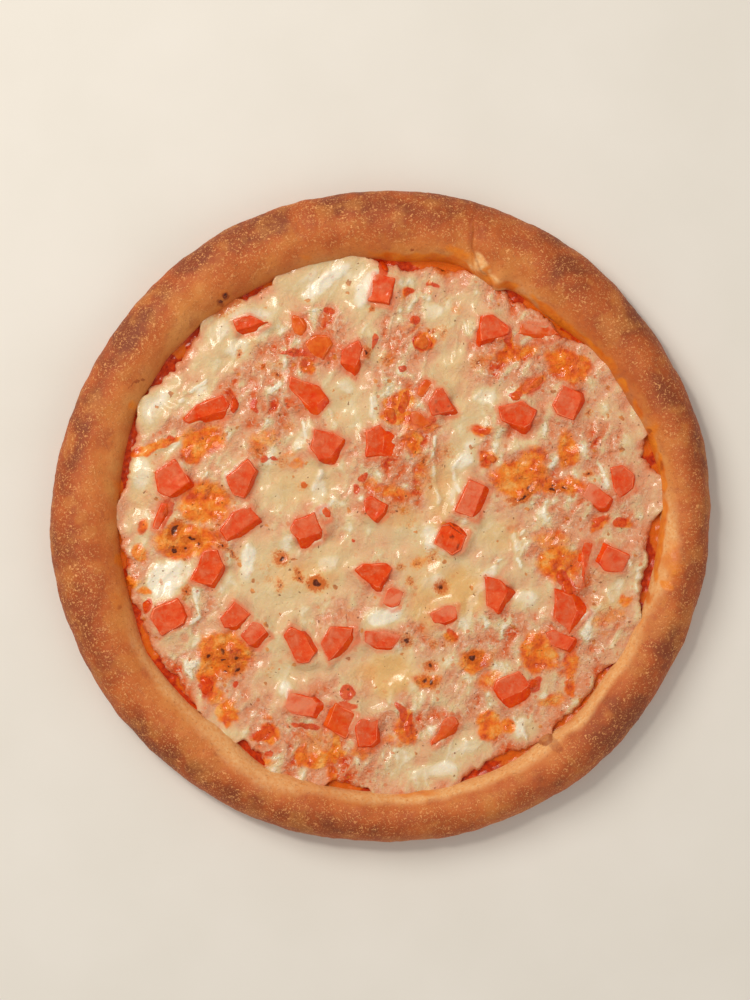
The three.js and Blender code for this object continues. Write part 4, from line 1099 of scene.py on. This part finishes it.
def make_sauce():
    bm = bmesh.new()
    section = [(0, SAUCE_LOW), (WELL_RADIUS, SAUCE_LOW)]
    section += [(WELL_RADIUS - SAUCE_RING_WIDTH * i, SAUCE_TOP) for i in range(SAUCE_RINGS + 1)]
    section += [(radius, SAUCE_TOP) for radius in SAUCE_FLAT_RINGS]
    turned(bm, section, SAUCE_STEPS)
    mesh = finished(bm, "sauce_layer", ["sauce"], sauce_finish()).data
    plain = points_of(mesh)
    angle, radius = polar(plain)
    reach = radius / WELL_RADIUS * (well_radius(angle) + SAUCE_TUCK)
    points = from_polar(angle, reach, plain[:, 2])
    border = rise(radius, *SAUCE_BANK_RADII) * (plain[:, 2] > SAUCE_LOW)
    points[:, 2] += border * (SAUCE_BANK + 0.5 * rough(points, 4, 101, 3))
    points[:, 2] += border * SAUCE_LIP * rise(radius, WELL_RADIUS - SAUCE_LIP_WIDTH, WELL_RADIUS)
    move_points(mesh, points)
    drift = warped(points, 4, 1.2, 111)
    fat = patches(drift, full_strength(STAINS), 0.4, 1.2)
    paint(mesh, "fat", np.maximum(fat, patches(drift, SAUCE_FAT, 0.4)))


# ---- the cheese ----
CHEESE_CELLS = 312
# How far the cheese reaches past the well's wall, and how far a bay of size 1 cuts it back.
CHEESE_REACH = 2.0
BAY_DEPTH = 1.05
FOLD_WIDTH = 1.2
EDGE_ROUNDING = 3.0
EDGE_DROP = 2.4
EDGE_RAGGED = 1.7
# The collar of cheese round a piece of tomato: how far from its middle the cheese minds it at
# all, how wide the collar is on both sides of the outline, and how far under the top it stays.
COLLAR_REACH = 24
COLLAR_OUTSIDE = 3.0
COLLAR_INSIDE = 0.9
TOP_CLEAR = 0.7
TOP_DIP = 0.4


def cheese_bay(angle):
    return swell(CHEESE_BAYS, angle)


def cheese_radius(angle):
    bay = cheese_bay(angle)
    return well_radius(angle) + CHEESE_REACH * (1 - rise(bay, 0.2, 1)) - BAY_DEPTH * bay


def cheese_lie(points):
    """The cheese's broad relief."""
    height = np.zeros(len(points))
    for x, y, radius, size in CHEESE_LUMPS:
        height += size * bell(away_from(points, x, y), radius)
    count, size, length, shrink, turning = RIPPLES
    for i in range(1, count + 1):
        along = points[:, 0] * math.cos(i * turning) + points[:, 1] * math.sin(i * turning)
        height += size * np.sin(2 * math.pi * along / length + i)
        length *= shrink
    return height


def disc_from_square(u, v):
    """Moves points of a square of side 2 to a disc of radius 1, ring by ring."""
    wide = np.abs(u) > np.abs(v)
    radius = np.where(wide, u, v)
    safe = np.where(radius == 0, 1, radius)
    turn = np.where(wide, math.pi / 4 * v / safe, math.pi / 2 - math.pi / 4 * u / safe)
    return radius * np.cos(turn), radius * np.sin(turn)


def stretched(points, turn, by):
    """The points squeezed along a direction, so that noise on them runs in strands."""
    along, across = along_and_across(points, turn)
    return np.column_stack([along / by, across, points[:, 2]])


def fold_crests(points):
    """How near each point lies to the crest of a fold, from 0 to 1."""
    crests = np.zeros(len(points))
    for line in FOLDS:
        for start, end in zip(np.array(line), np.array(line)[1:]):
            crests = np.maximum(crests, bell(away_from_line(points, start, end), FOLD_WIDTH))
    return crests


def fold_strands(points):
    """Thin ridges that wander over the whole cheese, from 0 to 1."""
    ridges = 1 - np.abs(noise(stretched(warped(points, 7, 2, 147), 70, 1.8), 6, 149)) * 2.2
    return np.maximum(0, ridges) ** 2


def cheese_fields(points):
    """What the cheese is like at each point, in shares of 0 to 1, and how its clots lie."""
    broad = warped(warped(points, 15, 4.5, 161), 6, 2.2, 165)
    drift = warped(warped(points, 8, 2.0, 171), 3, 1.0, 175)
    ragged = warped(warped(points, 3.4, 1.2, 771), 1.3, 0.45, 791)
    pink = patches(broad, PINK, 0.6, 1.3)
    pools = patches(broad, POOLS, 0.5, 1.1)
    crests = fold_crests(warped(warped(points, 7, 1.3, 183), 2.6, 0.5, 185))
    crests *= rise(noise(points, 5, 187), -0.7, 0.3)
    white = np.maximum(patches(drift, WHITE, 0.4, 1.1), crests)
    oil = patches(drift, ORANGE, 0.5, 1.2)
    thin = np.clip(0.42 + 0.62 * pink - 0.55 * pools - 0.3 * white + 0.25 * oil, 0, 1)
    clots = rough(stretched(warped(points, 9, 2.5, 131), 64, 1.6), 6.5, 135, 3, 0.5)
    # White folds lighten the body, partly as thick cheese and partly as painted highlight.
    body = 0.58 - 0.23 * pink + 0.24 * pools + 0.26 * white - 0.12 * oil
    body += 0.05 * noise(points, 24, 141) + (0.06 + 0.33 * thin) * clots
    body += thin * (0.28 * rise(clots, 0.15, 0.6) - 0.06)
    body += (0.07 + 0.2 * thin) * fold_strands(points) - 0.03
    # Fold crests painted the whitest cheese, partly as painted highlight.
    body = np.maximum(body, rise(crests, 0.25, 0.75))
    masks = {
        "body": body,
        "thin": thin,
        "oil": oil,
        "amber": patches(broad, AMBER, 0.6, 1.15),
        "halo": patches(ragged, CHAR, 0.7, 2.1),
        "char": patches(ragged, CHAR, 0.5, 0.75),
        "red": patches(drift, full_strength(TOMATO_BITS), 0.35, 1.15),
    }
    return masks, clots, white, crests


def cheese_top(points, masks, clots, white, crests):
    """Height of the cheese's upper side."""
    thin = masks["thin"]
    height = CHEESE_TOP + cheese_lie(points) + 0.14 * rough(points, 9, 121, 2)
    height += (0.12 + 0.8 * thin) * clots + 0.35 * thin * rough(points, 3.1, 145, 2)
    height += (0.12 + 0.5 * thin + 0.5 * white) * fold_strands(points)
    height += 0.45 * white + 0.6 * crests + 0.3 * masks["red"] - 0.25 * masks["char"]
    return height


def cheese_edge(height, inset, angle, ring):
    """Rounds the edge down to the sauce in the bays, and lets it creep up the rim between them."""
    bay = rise(cheese_bay(angle), 0.5, 1.6)
    lip = np.clip(inset / EDGE_ROUNDING, 0, 1)
    drop = EDGE_DROP * (1 - np.sqrt(1 - (1 - lip) ** 2))
    creep = 0.5 + 0.9 * noise(ring, 6, 155)
    return height - bay * drop + (1 - bay) * creep * bell(inset, EDGE_ROUNDING)


class Outline:
    """The outline of a tomato piece seen from above, and the height of its top."""

    def __init__(self, name):
        points = points_of(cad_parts[name].data)
        flat = [Vector(point) for point in points[:, :2]]
        self.corners = np.array([flat[i] for i in convex_hull_2d(flat)])
        self.middle = self.corners.mean(axis=0)
        self.top = squeezed(points[:, 2].max() - TOP_DIP, points[:, 2].min())
        self.cut = cut_of(name)
        self.way = np.array(heading(self.cut.turn))

    def away(self, points):
        """Millimetres outside the outline, minus inside it."""
        nearest = np.full(len(points), np.inf)
        within = np.ones(len(points), bool)
        for start, end in zip(self.corners, np.roll(self.corners, -1, axis=0)):
            nearest = np.minimum(nearest, away_from_line(points, start, end))
            east, north = end - start
            within &= east * (points[:, 1] - start[1]) - north * (points[:, 0] - start[0]) > 0
        return np.where(within, -nearest, nearest)


def climb_tomatoes(points, height, juice):
    """Draws the cheese up the sides of the tomato pieces; fills in where their juice tints it."""
    for i, name in enumerate(TOMATO_NODES):
        piece = Outline(name)
        film = piece.cut.film
        from_middle = away_from(points, *piece.middle)
        close = from_middle < COLLAR_REACH
        local = points[close]
        away = piece.away(local)
        facing = (local[:, :2] - piece.middle) @ piece.way / np.maximum(from_middle[close], 1)
        facing = rise(facing, 0.35, 0.8) * min(1, piece.cut.slant / 2.5)
        waver = noise(local, 7, 900 + i)
        reach = 0.78 + 0.3 * waver - 0.75 * facing + 0.35 * film
        raised = np.maximum(0, piece.top - height[close]) * np.clip(reach, 0.05, 1.04)
        spread = np.where(away > 0, COLLAR_OUTSIDE + waver, COLLAR_INSIDE)
        lifted = height[close] + raised * bell(away, spread)
        inside = away < -COLLAR_INSIDE - 1.6 * film * rise(waver, -0.3, 0.3)
        height[close] = np.where(inside, np.minimum(lifted, piece.top - TOP_CLEAR), lifted)
        tint = bell(np.maximum(away, 0), 1.4) * (0.55 + 0.4 * waver)
        juice[close] = np.maximum(juice[close], tint)


def cheese_square():
    """A fine square sheet of side 2 with a wall down from its border and a bottom."""
    bm = bmesh.new()
    bmesh.ops.create_grid(bm, x_segments=CHEESE_CELLS, y_segments=CHEESE_CELLS, size=1)
    border = [edge for edge in bm.edges if edge.is_boundary]
    skirt = bmesh.ops.extrude_edge_only(bm, edges=border)["geom"]
    low = [item for item in skirt if isinstance(item, bmesh.types.BMVert)]
    bmesh.ops.translate(bm, verts=low, vec=(0, 0, -1))
    bmesh.ops.holes_fill(bm, edges=[edge for edge in bm.edges if edge.is_boundary], sides=0)
    bmesh.ops.recalc_face_normals(bm, faces=bm.faces)
    return bm


def make_cheese():
    piece = finished(cheese_square(), "cheese_melted", ["cheese"], cheese_finish())
    mesh = piece.data
    square = numbers_of(mesh.vertices, "co", 3)
    disc = np.column_stack(disc_from_square(square[:, 0], square[:, 1]))
    angle, share = polar(disc)
    inset = (1 - share) * WELL_RADIUS
    edge = cheese_radius(angle)
    ring = from_polar(angle, edge, np.zeros(len(angle)))
    ragged = rise(cheese_bay(angle), 0.2, 1.2) * rise(share, 0.9, 1)
    edge += EDGE_RAGGED * ragged * (rough(ring, 6, 151, 3, 0.65) - 0.1)
    points = from_polar(angle, share * edge, np.full(len(angle), CHEESE_TOP))
    masks, *relief = cheese_fields(points)
    height = cheese_top(points, masks, *relief)
    free = rise(cheese_bay(angle), 0.4, 1.4)
    masks["body"] -= (0.06 + 0.16 * free) * bell(inset, 3.5)
    masks["juice"] = np.zeros(len(points))
    climb_tomatoes(points, height, masks["juice"])
    height = cheese_edge(height, inset, angle, ring)
    points[:, 2] = np.where(square[:, 2] < -0.5, CHEESE_LOW, height)
    move_points(mesh, points)
    for name, values in masks.items():
        paint(mesh, name, values)
    return piece


# ---- the tomato ----
TOMATO_NODES = sorted(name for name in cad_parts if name.startswith("tomato_"))
# Of each piece: the side that was cut at a slant, as its direction in degrees and its lean in
# millimetres, the shares of orange and of cheese film, how strongly dark marks and painted shade
# lie on the cut edges, and how strong the painted sky sheen on the top is, in tenths.
Cut = namedtuple("Cut", "turn slant orange film dark haze")
TOMATO_CUTS = {
    "01": (-80, 1.6, 0, 0, 0, 2), "02": (-75, 3.2, 0, 0, 0, 0), "03": (0, 2.0, 1, 0.2, 0, 0),
    "04": (-120, 3.4, 0, 0, 0, 2), "05": (-90, 3.4, 0.4, 0.5, 0, 0), "06": (-40, 2.0, 1, 0.2, 0, 0),
    "07": (-90, 4.2, 0, 0.2, 0, 2), "08": (-20, 1.6, 0.6, 0.1, 0, 0), "09": (-60, 1.5, 0.9, 0.1, 0, 0),
    "10": (-60, 3.4, 0.1, 0, 0, 0), "11": (-10, 2.2, 0, 0, 0, 4), "12": (-30, 3.0, 0, 0, 0.5, 2),
    "13": (-70, 3.0, 0, 0, 0, 0), "14": (-80, 3.0, 0, 0, 0, 1), "15": (-60, 2.0, 0.8, 0.3, 0, 0),
    "16": (0, 5.0, 0, 0, 0, 0), "17": (-45, 3.6, 0, 0, 0.2, 3), "18": (-40, 2.5, 0, 0.1, 0, 4),
    "19": (-30, 1.8, 0, 0, 0, 3), "20": (-40, 1.6, 0, 0, 0, 2), "21": (-60, 2.2, 0, 0.6, 0.2, 5),
    "22": (-20, 3.0, 0, 0, 0.1, 9), "23": (-40, 1.6, 0, 0, 0, 1), "24": (-20, 2.0, 0, 0.1, 0, 1),
    "25": (180, 2.0, 0.1, 0, 0, 0), "26": (-50, 2.4, 0, 0.1, 0, 3), "27": (-80, 4.5, 0, 0.2, 0, 4),
    "28": (60, 2.0, 0, 0, 0.9, 0), "29": (150, 3.0, 0, 0, 0, 4), "30": (180, 2.4, 0.1, 0.2, 0, 1),
    "31": (-60, 2.4, 0, 0, 0, 0), "32": (-60, 3.0, 0, 0, 0.2, 0), "33": (-30, 2.4, 0, 0.2, 0, 2),
    "34": (-80, 1.5, 0, 0.7, 0, 6), "35": (-10, 5.0, 0, 0, 0, 2), "36": (-60, 1.8, 0, 0.4, 0, 5),
    "37": (-10, 1.8, 0, 0, 0, 2), "38": (-60, 2.6, 0, 0, 0, 3), "39": (-50, 3.0, 0, 0.3, 0, 3),
    "40": (-30, 2.2, 0, 0, 0, 4), "41": (-40, 3.0, 0, 0.1, 0, 3), "42": (-90, 1.6, 0, 0.5, 0.2, 3),
    "43": (20, 2.0, 0, 0, 0, 2), "44": (-60, 4.0, 0, 0, 0, 3), "45": (-20, 3.0, 0, 0.5, 0, 7),
    "46": (180, 2.0, 0.3, 0.1, 0, 0), "47": (-50, 2.4, 0.4, 0.3, 0, 0), "48": (-30, 2.2, 0, 0, 0, 1),
}
TOMATO_SQUEEZE = 0.74
TOMATO_GROWTH = 0.3
TOMATO_TOP_GROWTH = 0.7
TOMATO_CELL = 1.15
# Where the slanted cut starts: so far under the cheese, and at least so far under the top.
CUT_UNDER_CHEESE = 0.5
CUT_UNDER_TOP = 2
# The second slanted side: its turn from the first, and both sides' lean as shares of the slant.
CUT_BESIDE = 75
CUT_LEAN = 1.35
CUT_BESIDE_LEAN = 0.45
# Rounds of smoothing for firm and for soft, orange pieces.
FIRM_ROUNDS = 1
SOFT_ROUNDS = 8
FILM_HEIGHTS = (13.4, 12.2)


def cut_of(name):
    return Cut(*TOMATO_CUTS[name[-2:]])


def squeezed(height, low):
    """Height of a point of a tomato piece once the baking has settled the piece."""
    return low + (height - low) * TOMATO_SQUEEZE


def split_long_edges(bm, longest, rounds=4):
    """Cuts edges longer than `longest` millimetres in two, a few rounds over."""
    for i in range(rounds):
        edges = [edge for edge in bm.edges if edge.calc_length() > longest * MM]
        if edges:
            bmesh.ops.subdivide_edges(bm, edges=edges, cuts=1, use_grid_fill=True)
            bmesh.ops.triangulate(bm, faces=[face for face in bm.faces if len(face.verts) > 3])


def cheese_level(place):
    """Height of the cheese round a place given in metres of the model's frame."""
    return CHEESE_TOP + cheese_lie(np.array([place]) / MM - MIDDLE)[0]


def slant_side(bm, middle, turn, slant, level, high):
    """Slants the side that faces a direction, from a level up, and returns the direction."""
    way = Vector((*heading(turn), 0))
    reach = max((vert.co - middle).dot(way) for vert in bm.verts)
    for vert in bm.verts:
        out = max(0, (vert.co - middle).dot(way) / reach)
        up = max(0, (vert.co.z - level) / (high - level))
        vert.co -= way * (slant * MM * out * up)
    return way


def settle(bm, middle, low):
    """Lets the piece sink together, and grow a little to the sides, most at its top."""
    for vert in bm.verts:
        outwards = Vector((vert.co.x - middle.x, vert.co.y - middle.y, 0)).normalized()
        if any(face.normal.z > 0.9 for face in vert.link_faces):
            vert.co += outwards * TOMATO_TOP_GROWTH * MM
        vert.co += outwards * TOMATO_GROWTH * MM
        vert.co.z = squeezed(vert.co.z, low)


def mark_top(bm):
    """Marks the points of the top, and those along its brink."""
    flat = bm.verts.layers.float.new("flat")
    brink = bm.verts.layers.float.new("brink")
    bm.normal_update()
    for vert in bm.verts:
        rising = [face.normal.z > 0.75 for face in vert.link_faces]
        vert[flat] = any(rising)
        vert[brink] = any(rising) and not all(rising)


def cut_piece(name, cut, seed):
    """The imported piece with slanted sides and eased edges; returns it and the slant's direction."""
    bm = bmesh.new()
    bm.from_mesh(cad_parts[name].data)
    bmesh.ops.remove_doubles(bm, verts=bm.verts, dist=WELD)
    bmesh.ops.dissolve_limit(bm, angle_limit=math.radians(3), verts=bm.verts, edges=bm.edges)
    low = min(vert.co.z for vert in bm.verts)
    high = squeezed(max(vert.co.z for vert in bm.verts), low)
    middle = sum((vert.co for vert in bm.verts), Vector()) / len(bm.verts)
    settle(bm, middle, low)
    bmesh.ops.triangulate(bm, faces=bm.faces)
    split_long_edges(bm, TOMATO_CELL)
    mark_top(bm)
    level = min((cheese_level(middle) - CUT_UNDER_CHEESE) * MM, high - CUT_UNDER_TOP * MM)
    way = slant_side(bm, middle, cut.turn, CUT_LEAN * cut.slant, level, high)
    beside = cut.turn + (CUT_BESIDE if seed % 2 else -CUT_BESIDE)
    slant_side(bm, middle, beside, CUT_BESIDE_LEAN * cut.slant, level, high)
    for i in range(SOFT_ROUNDS if cut.orange > 0.5 else FIRM_ROUNDS):
        bmesh.ops.smooth_vert(bm, verts=bm.verts, factor=0.5, use_axis_x=True, use_axis_y=True,
                              use_axis_z=True)
    bmesh.ops.recalc_face_normals(bm, faces=bm.faces)
    return bm, way


def make_tomato(name, material):
    """One cut piece with a wet uneven surface, painted with its film and dark marks, and with painted
    reflection and sheen on its top and painted highlight and shade along its brink.
    """
    cut = cut_of(name)
    seed = int(name[-2:])
    bm, way = cut_piece(name, cut, seed)
    piece = finished(bm, "dice_" + name[-2:], [name], material)
    mesh = piece.data
    points = points_of(mesh)
    relief = 0.3 * noise(points, 7, 200 + seed) + 0.12 * noise(points, 3, 250 + seed)
    relief += 0.06 * noise(points, 1.5, 300 + seed)
    moved = swollen(mesh, points, relief)
    moved[:, 0] += 0.5 * noise(points, 7, 320 + seed)
    moved[:, 1] += 0.5 * noise(points, 7, 340 + seed)
    move_points(mesh, moved)
    side = (points - points.mean(axis=0)) @ np.array(way)
    side /= np.abs(side).max()
    brink = painted_values(mesh, "brink")
    # Painted reflection of the sky on the top, with the painted sheen over it; the reflection fades
    # towards the slanted side.
    top = painted_values(mesh, "flat") * (1 - 0.3 * brink)
    paint(mesh, "haze", top * cut.haze / 10)
    top *= 0.3 + 0.7 * rise(-side + 0.8 * noise(points, 9, 380 + seed), -0.6, 0.3)
    paint(mesh, "top", top)
    mottle = 0.5 * noise(points, 4, 400 + seed) * (cut.orange > 0)
    paint(mesh, "orange", cut.orange + mottle)
    climb = rise(points[:, 2] + 0.8 * noise(points, 3, 500 + seed), *FILM_HEIGHTS)
    cover = cut.film * rise(noise(points, 5, 600 + seed) - side * 0.5, -0.5, 0.5)
    paint(mesh, "film", np.maximum(0.5 * climb, 1.5 * cover))
    # Painted highlight along the top's brink.
    paint(mesh, "edge_highlight", brink * rise(noise(points, 5, 710 + seed), -0.6, 0.3))
    # Dark marks, and painted shade along the top's brink on the slanted side.
    marks = rise(noise(points, 2.6, 720 + seed), 0.42, 0.6) * 0.8
    dark_edge = brink * rise(side + 0.5 * noise(points, 3, 700 + seed), 0.1, 0.6)
    paint(mesh, "dark", cut.dark * np.maximum(dark_edge, marks))
    return piece


# ---- what lies on the cheese ----
DROP_FROM = 60 * MM
# Only bits of some height and the blackest spots are lumps; the others are colour on the cheese.
BIT_LEAST_HEIGHT = 1
BIT_FLATTEN = 0.7
BIT_SINK = 0.45
CHAR_LEAST_STRENGTH = 0.95
CHAR_LONG = 0.42
CHAR_WIDE = 0.32
CHAR_HEIGHT = 0.3
CHAR_SINK = 0.4


def drop_onto(tree, x, y):
    """Height of the topping at a place, and its upward direction there."""
    start = Vector(((x + MIDDLE[0]) * MM, (y + MIDDLE[1]) * MM, DROP_FROM))
    place, normal = tree.ray_cast(start, Vector((0, 0, -1)))[:2]
    return (place.z / MM, normal) if place else (CHEESE_TOP, Vector((0, 0, 1)))


def topping_tree(pieces):
    bm = bmesh.new()
    for piece in pieces:
        bm.from_mesh(piece.data)
    tree = BVHTree.FromBMesh(bm)
    bm.free()
    return tree


def add_blob(bm, tree, row, sink):
    """A flattened lump, turned and laid on what is under it, a share of its height deep."""
    x, y, long, wide, turn, high = row
    height, normal = drop_onto(tree, x, y)
    made = bmesh.ops.create_icosphere(bm, subdivisions=3, radius=1)["verts"]
    lean = Vector((0, 0, 1)).rotation_difference(normal).to_matrix()
    lay = Vector((x + MIDDLE[0], y + MIDDLE[1], height - sink * high))
    ahead, aside = heading(turn)
    for vert in made:
        u, v, w = vert.co
        east = u * long * ahead - v * wide * aside
        north = u * long * aside + v * wide * ahead
        vert.co = (lean @ Vector((east, north, w * high)) + lay) * MM
    return made


def roughen(mesh, depth, size, seed, layers):
    """Gives lumps an uneven skin."""
    points = points_of(mesh)
    move_points(mesh, swollen(mesh, points, depth * rough(points, size, seed, layers)))


def make_bits(tree):
    bm = bmesh.new()
    orange = bm.verts.layers.float.new("orange")
    for x, y, long, wide, turn, high, tone in TOMATO_BITS:
        if high >= BIT_LEAST_HEIGHT:
            row = (x, y, long, wide, turn, BIT_FLATTEN * high)
            for vert in add_blob(bm, tree, row, BIT_SINK):
                vert[orange] = tone
    piece = finished(bm, "tomato_bits", [], bits_finish())
    roughen(piece.data, 0.5, 3, 801, 3)


def make_char(tree):
    bm = bmesh.new()
    for x, y, long, wide, turn, strength in CHAR:
        if strength >= CHAR_LEAST_STRENGTH:
            row = (x, y, long * CHAR_LONG, wide * CHAR_WIDE, turn + 40 * x, CHAR_HEIGHT)
            add_blob(bm, tree, row, CHAR_SINK)
    piece = finished(bm, "char_specks", [], char_finish())
    roughen(piece.data, 0.38, 1.2, 811, 2)


# ---- floor, light and camera; lengths here are metres, but for the sensor's millimetres ----
FLOOR_SIZE = 4.0
VIEW_DISTANCE = 1.4
VIEW_HEIGHT = 0.45455
VIEW_MIDDLE = (-0.00244, 0.00723)
VIEW_PLANE = 0.009
SENSOR_HEIGHT = 36
SKY = (1, 0.95, 0.87, 1)
SKY_STRENGTH = 0.42
# Name, place, width, power, colour.
LAMPS = [
    ("key", (-0.80, 0.72, 1.15), 0.75, 11.7, (1, 0.95, 0.875)),
    ("spark", (-0.42, 0.42, 1.28), 0.2, 4.2, (1, 0.92, 0.81)),
    ("fill", (0.95, -0.75, 1.1), 1.2, 3.6, (1, 0.955, 0.88)),
]


def make_floor():
    look = Finish("pale floor")
    shade = look.ramp(look.grain(60, 3), (0.3, 226, 222, 215), (0.7, 230, 226, 220))
    look.bump(look.grain(2, 2), 0.02)
    bm = bmesh.new()
    bmesh.ops.create_grid(bm, x_segments=1, y_segments=1, size=FLOOR_SIZE / 2)
    floor = placed("floor", mesh_from(bm, "floor", look.done(shade, 0.85)))


def make_light():
    for name, place, width, power, colour in LAMPS:
        data = bpy.data.lights.new(name, "AREA")
        data.shape = "DISK"
        data.size = width
        data.energy = power
        data.color = colour
        light = placed(name, data)
        light.location = place
        light.rotation_euler = (-Vector(place)).to_track_quat("-Z", "Y").to_euler()
    world = bpy.data.worlds.new("studio")
    world.use_nodes = True
    sky = world.node_tree.nodes["Background"]
    sky.inputs["Color"].default_value = SKY
    sky.inputs["Strength"].default_value = SKY_STRENGTH
    bpy.context.scene.world = world


def make_camera():
    data = bpy.data.cameras.new("camera")
    data.sensor_fit = "VERTICAL"
    data.sensor_height = SENSOR_HEIGHT
    data.lens = SENSOR_HEIGHT * VIEW_DISTANCE / VIEW_HEIGHT
    camera = placed("camera", data)
    camera.location = (*VIEW_MIDDLE, VIEW_DISTANCE + VIEW_PLANE)
    bpy.context.scene.camera = camera


make_camera()
make_light()
make_floor()
crust = make_crust()
make_sauce()
cheese = make_cheese()
tomato_material = tomato_finish()
dice = [make_tomato(name, tomato_material) for name in TOMATO_NODES]
topping = topping_tree([crust, cheese, *dice])
make_bits(topping)
make_char(topping)
bpy.context.scene.view_settings.view_transform = "Standard"
